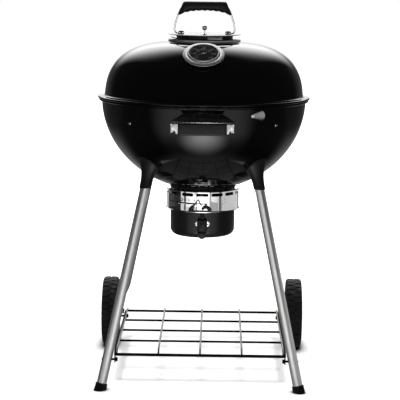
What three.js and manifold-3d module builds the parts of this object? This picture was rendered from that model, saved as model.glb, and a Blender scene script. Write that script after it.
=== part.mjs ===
// Kettle charcoal grill: lid with its vent, bowl, air band, ash pot, four legs, wire shelf and wheels.
// Millimetres, +Z up, front of the grill towards -Y, origin on the floor below the bowl's axis.
import * as THREE from 'three';
import { mergeVertices } from 'three/addons/utils/BufferGeometryUtils.js';
import Module from 'manifold-3d';

const wasm = await Module();
wasm.setup();

// ---- driving dimensions -------------------------------------------------------------------
const GAP = 0.4; // clearance between touching pieces
const SHEET = 2; // wall of the enamelled lid and bowl
const SIDES = { shell: 32, round: 22, wheel: 24, small: 12 }; // facets round a turned piece

const RIM_Z = 758;
const BOWL = { radius: 280, depth: 252, lip: 288, lipHeight: 6 };
const BOWL_VENT = { inner: 26, outer: 74, span: 44, count: 3 };
const LID = { radius: 272, base: 762, height: 155, round: 3.4, flat: 2.35, lip: 291.5, hole: 56 };

const VENT = { plateRadius: 99, drumRadius: 77.5, wall: 1.5, bottom: 919, top: 930, sill: 2.6 };
// windows of the lid vent, degrees clockwise from the front seen from above, as [from, to]
const VENT_WINDOWS = [[-20, 40], [113, 173], [230, 280]];
const VENT_TURN = 27; // how far the damper stands from fully open
const VENT_LEVER_SLOT = { from: 236, to: 310 };
const SHIELD = { radius: 99, bottom: 930.4, thickness: 1.6 };
const SHIELD_TOP = SHIELD.bottom + SHIELD.thickness;
const KNOB = { radius: 7, z: 950, stem: 2.4 };

const BAIL = { wire: 2.2, foot: 64, bow: 83, end: 72, top: 1009, eye: 4.4 };
const GRIP = { top: 1021.5, bottom: 985, halfTop: 59, halfEnd: 73, thickness: 24, depth: 30 };

const DIAL = { reach: 209, caseRadius: 39, bezelRadius: 54.7, stem: 3, stemLength: 62 };

const HANDLE = { y: -344.3, halfWidth: 62, low: 690, high: 720, depth: 22, bracket: 19 };
const HOOD = { halfFront: 81, halfBack: 43, backZ: 739, backY: -286, thickness: 3 };

const PROBE = { azimuth: 27.4, z: 733.5, reach: 22, disc: 14, boss: 6, thickness: 1.6, hole: 9, standOff: 3.1, lean: 2.2 };

const GRATE = { z: 712, radius: 270, bar: 4, rows: 13 };
const COAL_GRATE = { z: 604, radius: 210, bar: 6, rows: 7 };
const CLIP = { z: 705, screw: 4, reach: 20, width: 22 };

const LEG = { radius: 12.5, wall: 1.5, topX: 153, topZ: 530, footX: 260, footZ: 19, insert: 30 };
const SOCKET = { mouth: 14.6, flare: 60, length: 88, lean: 0.3 };
const FOOT = { radius: 15.5, height: 21, wall: 4 };

const WHEEL = { radius: 101.6, x: 270.5, width: 46, axleZ: 101.6, rim: 66, hub: 17, axle: 5 };
const REAR_FLAT = { from: 190, to: 132, bottom: 76, halfThickness: 3, halfWidth: 17 };

const SHELF = {
  z: 100.7, frontZ: 93, rows: [246, 123, 0, -123, -246], side: 226,
  rod: 3, frontRod: 4, wire: 2.5, wires: [-221.6, -110.8, 0, 110.8, 221.6], overhang: 8,
};
const SHELF_BOLT = { frontZ: 80, rearZ: 85, shank: 3, head: 6.5 };

const BAND = { radius: 100, wall: 1.5, bottom: 454, top: 511, slots: 15, slotWidth: 34, slotHeight: 7, slotZ: 502 };
const NECK = { radius: 88, wall: 2.5 };
const LEVER_SLOT = { z: 478, height: 4, from: -62, to: 8 };
const LEVER = { left: -26, right: 36, low: 464, ear: 476, apex: 490, thickness: 5, azimuth: -6 };
const POT = { radius: 89, wall: 1.5, top: 460, bottom: 380, corner: 18 };
const POT_HANDLE = { stem: 6.5, body: 14, tip: 12, topZ: 452, shoulderZ: 436, waistZ: 402, tipZ: 381.5, depth: 18 };
const LATCH = { z: 421.5, halfWidth: 20, halfHeight: 10, thickness: 2 };

// ---- helpers ------------------------------------------------------------------------------
const radians = THREE.MathUtils.degToRad;

/** A closed geometry as a solid that can be cut and joined. */
function solid(geometry) {
  const bare = geometry.clone();
  bare.deleteAttribute('normal');
  bare.deleteAttribute('uv');
  const merged = mergeVertices(bare, 1e-4);
  const triVerts = new Uint32Array(merged.index.array);
  const vertProperties = new Float32Array(merged.attributes.position.array);
  return new wasm.Manifold(new wasm.Mesh({ numProp: 3, vertProperties, triVerts }));
}

/** A solid turned back into a geometry. */
function geometryOf(manifold) {
  const mesh = manifold.getMesh();
  const geometry = new THREE.BufferGeometry();
  geometry.setAttribute('position', new THREE.BufferAttribute(mesh.vertProperties, 3));
  geometry.setIndex(new THREE.BufferAttribute(mesh.triVerts, 1));
  geometry.computeVertexNormals();
  return geometry;
}

const join = (...parts) => geometryOf(wasm.Manifold.union(parts.map(solid)));
const cut = (base, ...tools) => geometryOf(solid(base).subtract(wasm.Manifold.union(tools.map(solid))));
const keep = (base, tool) => geometryOf(solid(base).intersect(solid(tool)));

/** A profile of [radius, z] points turned about Z; either winding gives outward faces. */
function turned(points, segments = SIDES.round) {
  const profile = points.map(([r, z]) => new THREE.Vector2(r, z));
  if (THREE.ShapeUtils.area(profile) < 0) profile.reverse();
  return new THREE.LatheGeometry(profile, segments).rotateX(Math.PI / 2);
}

/** A turned profile that closes on itself, away from the axis. */
const turnedRing = (points, segments) => turned([...points, points[0]], segments);

/** A plain cylinder about Z from z0 to z1. */
function disc(radius, z0, z1, segments = SIDES.round) {
  return turned([[0, z0], [radius, z0], [radius, z1], [0, z1]], segments);
}

/** A plain pipe about Z from z0 to z1. */
const pipe = (outer, inner, z0, z1, segments) =>
  turnedRing([[inner, z0], [outer, z0], [outer, z1], [inner, z1]], segments);

/** A box between two corners. */
function block(low, high) {
  const size = high.map((value, i) => value - low[i]);
  const centre = high.map((value, i) => (value + low[i]) / 2);
  return new THREE.BoxGeometry(...size).translate(...centre);
}

/** A straight round bar between two points. */
function bar(from, to, radius, sides = 8, endRadius = radius) {
  const start = new THREE.Vector3(...from);
  const along = new THREE.Vector3(...to).sub(start);
  const turn = new THREE.Quaternion().setFromUnitVectors(new THREE.Vector3(0, 1, 0), along.clone().normalize());
  return new THREE.CylinderGeometry(endRadius, radius, along.length(), sides)
    .applyQuaternion(turn)
    .translate(...start.addScaledVector(along, 0.5).toArray());
}

/** A round wire along a smooth curve through points. */
function wire(points, radius, steps, sides = 8) {
  const path = new THREE.CatmullRomCurve3(points.map((p) => new THREE.Vector3(...p)), false, 'centripetal');
  const section = new THREE.Shape().absarc(0, 0, radius, 0, 2 * Math.PI);
  return new THREE.ExtrudeGeometry(section, { steps, extrudePath: path, curveSegments: sides });
}

/** A flat outline of [x, y] points raised along Z. */
function raised(points, z0, z1) {
  const shape = new THREE.Shape(points.map(([x, y]) => new THREE.Vector2(x, y)));
  return new THREE.ExtrudeGeometry(shape, { depth: z1 - z0, bevelEnabled: false }).translate(0, 0, z0);
}

/** An outline drawn in X and Z, raised towards the front from y. */
const facing = (shape, y, depth) =>
  new THREE.ExtrudeGeometry(shape, { depth, bevelEnabled: false, curveSegments: 8 })
    .rotateX(Math.PI / 2)
    .translate(0, y, 0);

/** A wedge about Z, in degrees from the front (-Y) towards +X. */
function sector(from, to, inner, outer, z0, z1) {
  const steps = Math.max(1, Math.ceil((to - from) / 16));
  const at = (angle, r) => [r * Math.sin(radians(angle)), -r * Math.cos(radians(angle))];
  const angles = Array.from({ length: steps + 1 }, (_, i) => from + ((to - from) * i) / steps);
  return raised([...angles.map((a) => at(a, outer)), ...angles.reverse().map((a) => at(a, inner))], z0, z1);
}

/** A point on a circle, by degrees from the front (-Y) towards +X. */
const around = (azimuth, r, z) => [r * Math.sin(radians(azimuth)), -r * Math.cos(radians(azimuth)), z];

// ---- materials ----------------------------------------------------------------------------
const finish = (color, roughness, metalness, extra = {}) =>
  new THREE.MeshStandardMaterial({ color, roughness, metalness, ...extra });
const FINISH = {
  enamel: () => finish(0x0b0c0e, 0.12, 0.1),
  chrome: () => finish(0xd8dadc, 0.08, 1),
  steel: () => finish(0xb4b4b2, 0.32, 1),
  nylon: () => finish(0x151617, 0.45, 0),
  paint: () => finish(0x1b1c1e, 0.4, 0.1),
  iron: () => finish(0x5d5f61, 0.45, 0.9),
  rubber: () => finish(0x1e1f20, 0.75, 0),
  dial: () => finish(0x2a2a2b, 0.6, 0),
  glass: () => finish(0xffffff, 0.03, 0, { transparent: true, opacity: 0.3 }),
};

const group = new THREE.Group();

/** Adds one named sub-part. */
function add(name, geometry, look, position = [0, 0, 0], parent = group) {
  const mesh = new THREE.Mesh(geometry, FINISH[look]());
  mesh.name = name;
  mesh.position.set(...position);
  parent.add(mesh);
  return mesh;
}

// ---- bowl ---------------------------------------------------------------------------------
const BOWL_STEPS = 11;
const quarter = Array.from({ length: BOWL_STEPS + 1 }, (_, i) => (Math.PI / 2) * (i / BOWL_STEPS));

/** Bowl outline from the bottom centre to the rim, offset inwards by an amount. */
const bowlArc = (inset) =>
  quarter.map((t) => [(BOWL.radius - inset) * Math.sin(t), RIM_Z - (BOWL.depth - inset) * Math.cos(t)]);
const bowlRadiusAt = (z, inset = 0) =>
  (BOWL.radius - inset) * Math.sqrt(1 - ((RIM_Z - z) / (BOWL.depth - inset)) ** 2);
const bowlBottomAt = (r) => RIM_Z - BOWL.depth * Math.sqrt(1 - (r / BOWL.radius) ** 2);

/** The whole space of the bowl and a clearance round it, for trimming what touches it. */
const bowlSpace = () => turned([...bowlArc(-GAP), [0, RIM_Z]], SIDES.shell);

/** The space inside the bowl's wall, less the clearance. */
const bowlInside = () => turned([...bowlArc(SHEET + GAP), [0, RIM_Z]], SIDES.shell);

function bowlShell() {
  const lip = [
    [BOWL.lip, RIM_Z - BOWL.lipHeight],
    [BOWL.lip, RIM_Z - 0.5],
    [BOWL.radius - SHEET, RIM_Z - 0.5],
  ];
  const outer = bowlArc(0).slice(0, -1);
  outer.push([BOWL.radius, RIM_Z - BOWL.lipHeight]);
  const inner = bowlArc(SHEET).slice(0, -1).reverse();
  const shell = turned([...outer, ...lip, ...inner], SIDES.shell);
  const vents = Array.from({ length: BOWL_VENT.count }, (_, i) => {
    const middle = (360 / BOWL_VENT.count) * i;
    return sector(middle - BOWL_VENT.span / 2, middle + BOWL_VENT.span / 2,
      BOWL_VENT.inner, BOWL_VENT.outer, RIM_Z - BOWL.depth - 5, RIM_Z - BOWL.depth + 25);
  });
  const shaftHole = disc(6, RIM_Z - BOWL.depth - 5, RIM_Z - BOWL.depth + 8, 16);
  const probeAt = PROBE.azimuth + THREE.MathUtils.radToDeg(PROBE.reach / bowlRadiusAt(PROBE.z));
  const probeHole = bar(around(probeAt, 260, PROBE.z), around(probeAt, 290, PROBE.z), PROBE.hole, SIDES.small);
  const screwHoles = [45, 135, 225, 315].map((a) =>
    bar(around(a, 255, CLIP.z), around(a, 290, CLIP.z), CLIP.screw / 2 + GAP, 10));
  return cut(shell, ...vents, shaftHole, probeHole, ...screwHoles);
}

/** Inner grate support with its screw, in one place round the bowl. */
function grateClip(azimuth) {
  const { z, screw, reach, width } = CLIP;
  const wall = bowlRadiusAt(z, SHEET);
  const plate = block([-width / 2, -wall, z - 10], [width / 2, -wall + 3, z + 3.3]);
  const ledge = block([-width / 2, -wall - 2, z + 1.8], [width / 2, -wall + reach, z + 3.3]);
  const inside = keep(join(plate, ledge), bowlInside());
  const shank = bar([0, -wall + 2, z], [0, -wall - 5, z], screw / 2, 10);
  const head = cut(bar([0, -wall - 1, z], [0, -wall - 6, z], screw, 14, screw * 0.6), bowlSpace());
  return join(inside, shank, head).rotateZ(radians(azimuth));
}

const bowlHandle = () =>
  block([-HANDLE.halfWidth, HANDLE.y, HANDLE.low], [HANDLE.halfWidth, HANDLE.y + HANDLE.depth, HANDLE.high]);

function bowlHood() {
  const front = HANDLE.y;
  const outline = [
    [-HOOD.halfFront, front], [HOOD.halfFront, front],
    [HOOD.halfFront - 6, front + 22], [HOOD.halfBack, HOOD.backY], [-HOOD.halfBack, HOOD.backY],
    [-HOOD.halfFront + 6, front + 22],
  ];
  const rise = HOOD.backZ - HANDLE.high - GAP;
  const plate = raised(outline, 0, HOOD.thickness);
  const places = plate.attributes.position;
  for (let i = 0; i < places.count; i += 1) {
    const along = (places.getY(i) - front) / (HOOD.backY - front);
    places.setZ(i, places.getZ(i) + HANDLE.high + GAP + along * (rise - HOOD.thickness));
  }
  return cut(plate, bowlSpace());
}

/** Steel strip that holds one end of the bowl handle; side is 1 on the right, -1 on the left. */
function bowlBracket(side) {
  const inner = HANDLE.halfWidth + GAP;
  const outer = inner + HANDLE.bracket - 1;
  const across = (x0, x1) => (side > 0 ? [x0, x1] : [-x1, -x0]);
  const [faceFrom, faceTo] = across(inner, outer);
  const [armFrom, armTo] = across(outer - 3, outer);
  const [footFrom, footTo] = across(outer - 16, outer);
  const face = block([faceFrom, HANDLE.y, HANDLE.high - 24], [faceTo, HANDLE.y + 3, HANDLE.high]);
  const arm = block([armFrom, HANDLE.y, HANDLE.high - 24], [armTo, -240, HANDLE.high]);
  const foot = block([footFrom, -270, HANDLE.high - 24], [footTo, -240, HANDLE.high]);
  return cut(join(face, arm, foot), bowlSpace());
}

/** Teardrop cover over the probe port, flat against the bowl. */
function probeCover() {
  const { reach, disc: big, boss: small, thickness } = PROBE;
  const shape = new THREE.Shape();
  shape.absarc(0, 0, small, Math.PI / 2, (3 * Math.PI) / 2, false);
  shape.absarc(reach, 0, big, -Math.PI / 2, Math.PI / 2, false);
  const plate = new THREE.ExtrudeGeometry(shape, { depth: thickness, bevelEnabled: false, curveSegments: 10 });
  return cut(plate, disc(2.5, -1, thickness + 1, 12));
}

function addBowl() {
  add('bowl_shell', bowlShell(), 'enamel');
  [['front_right', 45], ['rear_right', 135], ['rear_left', 225], ['front_left', 315]].forEach(([place, azimuth]) =>
    add(`grate_clip_${place}`, grateClip(azimuth), 'steel'));
  add('bowl_handle_grip', bowlHandle(), 'nylon');
  add('bowl_handle_hood', bowlHood(), 'nylon');
  add('bowl_handle_bracket_right', bowlBracket(1), 'steel');
  add('bowl_handle_bracket_left', bowlBracket(-1), 'steel');

  const probe = new THREE.Group();
  probe.position.set(...around(PROBE.azimuth, bowlRadiusAt(PROBE.z) + PROBE.standOff, PROBE.z));
  probe.rotation.set(Math.PI / 2, 0, 0);
  const turn = new THREE.Group();
  turn.rotation.z = radians(PROBE.azimuth + PROBE.lean);
  turn.add(probe);
  probe.position.applyAxisAngle(new THREE.Vector3(0, 0, 1), -turn.rotation.z);
  group.add(turn);
  add('probe_cover', probeCover(), 'chrome', [0, 0, 0], probe);
  const head = disc(4.2, PROBE.thickness + GAP, PROBE.thickness + 2.6, 14);
  const shank = disc(2, -2.4, PROBE.thickness + 1, 12);
  add('probe_screw', join(head, shank), 'chrome', [0, 0, 0], probe);
}

// ---- grates -------------------------------------------------------------------------------
/** A round wire grate: a rim ring, parallel bars and one or two cross bars. */
function grate({ z, radius, bar: thick, rows }, crossBars) {
  const half = thick / 2;
  const rim = pipe(radius, radius - thick, z - half, z + half, SIDES.shell);
  const reach = radius - half;
  const bars = Array.from({ length: rows }, (_, i) => {
    const x = -reach + (2 * reach * (i + 1)) / (rows + 1);
    const y = Math.sqrt(reach ** 2 - x ** 2);
    return block([x - half, -y, z - half], [x + half, y, z + half]);
  });
  const crossing = crossBars.map((y) => {
    const x = Math.sqrt(reach ** 2 - y ** 2);
    return block([-x, y - half, z - thick * 1.2], [x, y + half, z - half + 0.2]);
  });
  return join(rim, ...bars, ...crossing);
}

function addGrates() {
  add('charcoal_grate', grate(COAL_GRATE, [-90, 90]), 'iron');
  add('cooking_grate', grate(GRATE, [-110, 110]), 'steel');
}

// ---- air band, vanes and ash pot ----------------------------------------------------------
function airBand() {
  const { radius, wall, bottom, top } = BAND;
  const inner = radius - wall;
  const shell = turnedRing([
    [inner, bottom + 3], [radius + 1, bottom], [radius + 2.4, bottom + 1], [radius, bottom + 4],
    [radius, top], [NECK.radius - 8, top], [NECK.radius - 8, top - wall], [inner, top - wall],
  ], 45);
  const slots = Array.from({ length: BAND.slots }, (_, i) => {
    const azimuth = (360 / BAND.slots) * i;
    const half = THREE.MathUtils.radToDeg(BAND.slotWidth / 2 / radius);
    return sector(azimuth - half, azimuth + half, inner - 3, radius + 3,
      BAND.slotZ - BAND.slotHeight / 2, BAND.slotZ + BAND.slotHeight / 2);
  });
  const track = sector(LEVER_SLOT.from, LEVER_SLOT.to, inner - 3, radius + 3,
    LEVER_SLOT.z - LEVER_SLOT.height / 2, LEVER_SLOT.z + LEVER_SLOT.height / 2);
  return cut(shell, ...slots, track);
}

/** Dark collar between the air band and the underside of the bowl. */
function bandNeck() {
  const tall = pipe(NECK.radius, NECK.radius - NECK.wall, BAND.top + GAP, BAND.top + 30, SIDES.shell);
  return cut(tall, bowlSpace());
}

/** Sweeper blades under the bowl vents on a short shaft, with the arm that leaves through the band. */
function ventVanes() {
  const bladeTop = RIM_Z - BOWL.depth - 3;
  const hub = disc(14, LEVER_SLOT.z - 1, bladeTop, SIDES.small);
  const blades = Array.from({ length: BOWL_VENT.count }, (_, i) => {
    const middle = 30 + (360 / BOWL_VENT.count) * i;
    return sector(middle - 24, middle + 24, 8, BOWL_VENT.outer + 2, bladeTop - 1.5, bladeTop);
  });
  const arm = block([-5, -BAND.radius - 3, LEVER_SLOT.z - 1], [5, -8, LEVER_SLOT.z + 1]).rotateZ(radians(LEVER.azimuth));
  return join(hub, ...blades, arm);
}

/** Black lever on the end of the arm: a pointer above two rounded ears. */
function controlLever() {
  const { left, right, low, ear, apex, thickness, azimuth } = LEVER;
  const shape = new THREE.Shape();
  shape.moveTo(left, low);
  shape.quadraticCurveTo(left + 1, ear - 4, left + 11, ear);
  shape.lineTo(-2.5, apex);
  shape.lineTo(2.5, apex);
  shape.lineTo(11, ear);
  shape.quadraticCurveTo(right - 1, ear - 3, right, low);
  shape.lineTo(left, low);
  return facing(shape, -BAND.radius - 3 - GAP, thickness).rotateZ(radians(azimuth));
}

function ashPot() {
  const { radius, wall, top, bottom, corner } = POT;
  const turn = (r, z, size) => [0, 1, 2, 3].map((i) => {
    const t = (Math.PI / 6) * i;
    return [r - size + size * Math.sin(t), z + size - size * Math.cos(t)];
  });
  const outer = [[0, bottom], ...turn(radius, bottom, corner)];
  const rim = [[radius, top - 5], [radius + 2, top - 4], [radius + 2, top - 1], [radius, top], [radius - wall, top]];
  const inner = [...turn(radius - wall, bottom + wall, corner - wall).reverse(), [0, bottom + wall]];
  return turned([...outer, ...rim, ...inner], SIDES.shell);
}

/** Moulded handle on the front of the pot, with a rounded tip below. */
function potHandle() {
  const { stem, body, tip, topZ, shoulderZ, waistZ, tipZ, depth } = POT_HANDLE;
  const shape = new THREE.Shape();
  shape.moveTo(-stem, topZ);
  shape.lineTo(-stem, shoulderZ);
  shape.lineTo(-body, shoulderZ);
  shape.lineTo(-body, waistZ);
  shape.lineTo(-tip, tipZ + tip);
  shape.absarc(0, tipZ + tip, tip, Math.PI, 2 * Math.PI, false);
  shape.lineTo(body, waistZ);
  shape.lineTo(body, shoulderZ);
  shape.lineTo(stem, shoulderZ);
  shape.lineTo(stem, topZ);
  return facing(shape, -POT.radius - LATCH.thickness - 2 * GAP, depth);
}

/** Bright oval plate between the pot and its handle. */
function latchPlate() {
  const shape = new THREE.Shape().absellipse(1, LATCH.z, LATCH.halfWidth, LATCH.halfHeight, 0, 2 * Math.PI);
  return facing(shape, -POT.radius - GAP, LATCH.thickness);
}

function addAshSide() {
  add('band_collar', bandNeck(), 'enamel');
  add('air_band', airBand(), 'chrome');
  add('vent_vanes', ventVanes(), 'steel');
  add('control_lever', controlLever(), 'nylon');
  add('ash_pot', ashPot(), 'paint');
  add('ash_pot_handle', potHandle(), 'nylon');
  add('ash_pot_latch_plate', latchPlate(), 'chrome');
}

// ---- legs, sockets, feet --------------------------------------------------------------------
const CORNERS = [['front_right', 1, -1], ['front_left', -1, -1], ['rear_right', 1, 1], ['rear_left', -1, 1]];
const LEG_SLOPE = (LEG.footX - LEG.topX) / (LEG.topZ - LEG.footZ);

/** Distance of a leg's centre line from the grill's two middle planes, at a height. */
const legOut = (z) => LEG.topX + LEG_SLOPE * (LEG.topZ - z);
const onLeg = (sx, sy, z) => [sx * legOut(z), sy * legOut(z), z];

/** A socket that flares from the leg onto the bowl. */
function legSocket(sx, sy) {
  const { mouth, flare, length, lean } = SOCKET;
  const profile = Array.from({ length: 7 }, (_, i) => {
    const t = i / 6;
    return [mouth + (flare - mouth) * t ** 3.2, length * t];
  });
  const cone = turned([[0, 0], ...profile, [0, length]], SIDES.round);
  const places = cone.attributes.position;
  for (let i = 0; i < places.count; i += 1) {
    const z = places.getZ(i);
    const inward = LEG_SLOPE * z + lean * length * (z / length) ** 3;
    places.setX(i, places.getX(i) - sx * inward);
    places.setY(i, places.getY(i) - sy * inward);
  }
  const bottom = LEG.topZ - 2;
  cone.translate(sx * legOut(bottom), sy * legOut(bottom), bottom);
  const bore = bar(onLeg(sx, sy, bottom - 10), onLeg(sx, sy, LEG.topZ + LEG.insert + 6), LEG.radius + 2 * GAP, SIDES.small);
  return cut(cone, bowlSpace(), bore);
}

/** A solid round leg between two heights, its lower end pressed to the given half sizes if any. */
function legRod(sx, sy, radius, low, high, pressedTo) {
  const rod = new THREE.CylinderGeometry(radius, radius, high - low, SIDES.small, pressedTo ? 12 : 1)
    .rotateX(Math.PI / 2)
    .translate(0, 0, (high + low) / 2);
  const places = rod.attributes.position;
  for (let i = 0; i < places.count; i += 1) {
    const z = places.getZ(i);
    const pressed = 1 - THREE.MathUtils.smoothstep(z, REAR_FLAT.to, REAR_FLAT.from);
    const [scaleX, scaleY] = pressedTo ? pressedTo.map((half) => 1 + pressed * (half / radius - 1)) : [1, 1];
    places.setX(i, places.getX(i) * scaleX + sx * legOut(z));
    places.setY(i, places.getY(i) * scaleY + sy * legOut(z));
  }
  return rod;
}

function legTube(sx, sy) {
  const rear = sy > 0;
  const { halfThickness, halfWidth, bottom } = REAR_FLAT;
  const low = rear ? bottom : LEG.footZ - 7;
  const high = LEG.topZ + LEG.insert;
  const bore = LEG.radius - LEG.wall;
  const outerEnd = rear && [halfThickness, halfWidth];
  const innerEnd = rear && [halfThickness - LEG.wall, halfWidth - LEG.wall];
  const outside = legRod(sx, sy, LEG.radius, low, high, outerEnd);
  const inside = legRod(sx, sy, bore, low - 5, high + 5, innerEnd);
  const boltZ = rear ? SHELF_BOLT.rearZ : SHELF_BOLT.frontZ;
  const crossHole = (z, radius) =>
    bar([sx * (legOut(z) - 30), sy * legOut(z), z], [sx * (legOut(z) + 30), sy * legOut(z), z], radius, 16);
  const holes = [crossHole(boltZ, SHELF_BOLT.shank + GAP)];
  if (rear) holes.push(crossHole(WHEEL.axleZ, WHEEL.axle + GAP));
  return cut(outside, inside, ...holes);
}

/** Moulded foot on the low end of a front leg, cut level with the floor. */
function footCap(sx, sy) {
  const { radius, height, wall } = FOOT;
  const outside = bar(onLeg(sx, sy, -8), onLeg(sx, sy, height), radius + 1.5, SIDES.small, radius);
  const bore = bar(onLeg(sx, sy, LEG.footZ - 7 - wall), onLeg(sx, sy, height + 10), LEG.radius + GAP, SIDES.small);
  const floor = block([-400, -400, -60], [400, 400, 0]);
  return cut(outside, bore, floor);
}

function addLegs() {
  CORNERS.forEach(([place, sx, sy]) => {
    add(`leg_socket_${place}`, legSocket(sx, sy), 'nylon');
    add(`leg_tube_${place}`, legTube(sx, sy), 'steel');
    if (sy < 0) add(`foot_cap_${place}`, footCap(sx, sy), 'nylon');
  });
}

// ---- wheels ---------------------------------------------------------------------------------
function tyre() {
  const half = WHEEL.width / 2;
  return turnedRing([
    [WHEEL.rim, -half + 3], [WHEEL.radius - 10, -half], [WHEEL.radius - 2.5, -half + 4], [WHEEL.radius, -half + 12],
    [WHEEL.radius, half - 12], [WHEEL.radius - 2.5, half - 4], [WHEEL.radius - 10, half], [WHEEL.rim, half - 3],
  ], SIDES.wheel);
}

/** Wheel centre: hub, web and rim in one moulding. */
function wheelCentre() {
  const { rim, hub, axle, width } = WHEEL;
  const outer = rim - GAP;
  const half = width / 2 - 4;
  return turnedRing([
    [axle + GAP, -half - 1.2], [hub, -half - 1.2], [hub, -3], [outer - 7, -3], [outer - 5, -half], [outer, -half],
    [outer, half], [outer - 5, half], [outer - 7, 3], [hub, 3], [hub, half - 3], [axle + GAP, half - 3],
  ], SIDES.wheel);
}

/** Axle bolt through the flattened leg, with its head on the inner side; drawn along +Z from the leg. */
function axleBolt() {
  const legX = legOut(WHEEL.axleZ);
  const inside = legX - REAR_FLAT.halfThickness - 2.4 - WHEEL.x;
  return turned([
    [0, inside - 6], [9, inside - 6], [9, inside], [WHEEL.axle, inside],
    [WHEEL.axle, WHEEL.width / 2 - 3], [0, WHEEL.width / 2 - 3],
  ], SIDES.small);
}

/** Push-on cap that closes the hub and holds the wheel on its bolt. */
function hubCap() {
  const start = WHEEL.width / 2 - 7 + GAP;
  const bore = WHEEL.axle + GAP;
  const end = WHEEL.width / 2 - 3 + GAP;
  return turned([
    [bore, start], [WHEEL.hub, start], [WHEEL.hub, start + 2.5], [WHEEL.hub - 5, start + 6], [0, start + 6.8],
    [0, end], [bore, end], [bore, start],
  ], SIDES.small);
}

function addWheels() {
  [['right', 1], ['left', -1]].forEach(([place, side]) => {
    const wheel = new THREE.Group();
    wheel.position.set(side * WHEEL.x, legOut(WHEEL.axleZ), WHEEL.axleZ);
    wheel.rotation.y = (side * Math.PI) / 2;
    group.add(wheel);
    add(`tyre_${place}`, tyre(), 'rubber', [0, 0, 0], wheel);
    add(`wheel_centre_${place}`, wheelCentre(), 'nylon', [0, 0, 0], wheel);
    add(`axle_bolt_${place}`, axleBolt(), 'steel', [0, 0, 0], wheel);
    add(`hub_cap_${place}`, hubCap(), 'nylon', [0, 0, 0], wheel);
  });
}

// ---- shelf ----------------------------------------------------------------------------------
function shelf() {
  const { z, frontZ, rows, side, rod, frontRod, wire: thin, wires, overhang } = SHELF;
  const front = rows[rows.length - 1];
  const back = rows[0];
  const crossRods = rows.slice(1, -1).map((y) => bar([-side, y, z], [side, y, z], rod));
  const backRod = bar([-side, back, z], [side, back, z], rod + 0.5);
  const lowRod = bar([-side, front, frontZ], [side, front, frontZ], frontRod);
  const sideRails = [-side, side].map((x) => join(
    bar([x, front, frontZ], [x, front + 22, z], rod), bar([x, front + 21, z], [x, back, z], rod)));
  const top = z + rod + thin - 0.6;
  const longWires = wires.map((x) => join(
    bar([x, front + 20, top], [x, back + overhang, top], thin, 6),
    bar([x, front + 2, frontZ + frontRod], [x, front + 21, top], thin, 6)));
  const tabs = CORNERS.map(([, sx, sy]) => {
    const boltZ = sy > 0 ? SHELF_BOLT.rearZ : SHELF_BOLT.frontZ;
    const y = sy * legOut(boltZ);
    const flat = [sx * side - 1.5, sx * side + 1.5];
    const arm = block([flat[0], y - 6, boltZ], [flat[1], y + 6, (sy > 0 ? z : frontZ)]);
    const eye = bar([flat[0], y, boltZ], [flat[1], y, boltZ], 9, 20);
    const hole = bar([flat[0] - 5, y, boltZ], [flat[1] + 5, y, boltZ], SHELF_BOLT.shank + GAP, 14);
    return cut(join(arm, eye), hole);
  });
  return join(...crossRods, backRod, lowRod, ...sideRails, ...longWires, ...tabs);
}

/** Bolt that holds one corner of the shelf, its head inside and its shank through the leg. */
function shelfBolt(sx, sy) {
  const z = sy > 0 ? SHELF_BOLT.rearZ : SHELF_BOLT.frontZ;
  const y = sy * legOut(z);
  const inner = SHELF.side - 1.5 - GAP;
  const head = bar([sx * (inner - 5), y, z], [sx * inner, y, z], SHELF_BOLT.head, 6);
  const end = legOut(z) + (sy > 0 ? REAR_FLAT.halfThickness + GAP : LEG.radius + 3);
  const shank = bar([sx * (inner - 1), y, z], [sx * end, y, z], SHELF_BOLT.shank, 14);
  return join(head, shank);
}

function addShelf() {
  add('bottom_shelf', shelf(), 'enamel');
  CORNERS.forEach(([place, sx, sy]) => add(`shelf_bolt_${place}`, shelfBolt(sx, sy), 'paint'));
}

// ---- lid ------------------------------------------------------------------------------------
/** Height of the lid's outer face at a distance from the axis. */
const lidTopAt = (r) => LID.base + LID.height * (1 - (r / LID.radius) ** LID.round) ** (1 / LID.flat);

const LID_STEPS = 10;

/** Lid outline from the skirt up to the vent hole, offset inwards. */
function lidArc(inset) {
  const radius = LID.radius - inset;
  const height = LID.height - inset;
  const end = Math.acos((LID.hole / radius) ** (LID.round / 2));
  return Array.from({ length: LID_STEPS + 1 }, (_, i) => {
    const t = (end * i) / LID_STEPS;
    return [radius * Math.cos(t) ** (2 / LID.round), LID.base + height * Math.sin(t) ** (2 / LID.flat)];
  });
}

/** The dial's seat on the front of the lid: its place and how far its face is tipped back. */
function dialSeat() {
  const step = 0.5;
  const slope = (lidTopAt(DIAL.reach + step) - lidTopAt(DIAL.reach - step)) / (2 * step);
  return { place: [0, -DIAL.reach, lidTopAt(DIAL.reach)], tip: Math.atan(-slope) };
}

function lidShell() {
  const low = RIM_Z - 0.5 + GAP;
  const outer = lidArc(0);
  const inner = lidArc(SHEET).reverse();
  const lip = [[LID.radius - SHEET, low], [LID.lip, low], [LID.lip, low + 6.5], [LID.lip - 2, low + 8],
    [LID.radius + 3, low + 8]];
  const shell = turnedRing([...lip, ...outer.slice(1), ...inner.slice(0, -1)], SIDES.shell);
  const seat = dialSeat();
  const axis = [0, -Math.sin(seat.tip), Math.cos(seat.tip)];
  const onAxis = (distance) => seat.place.map((value, i) => value + axis[i] * distance);
  const dialHole = bar(onAxis(-20), onAxis(20), DIAL.stem + GAP, 14);
  const boltHoles = [-1, 1].map((side) =>
    bar([side * BAIL.foot, 0, 890], [side * BAIL.foot, 0, 950], BAIL.wire + GAP, 12));
  return cut(shell, dialHole, ...boltHoles);
}

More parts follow.
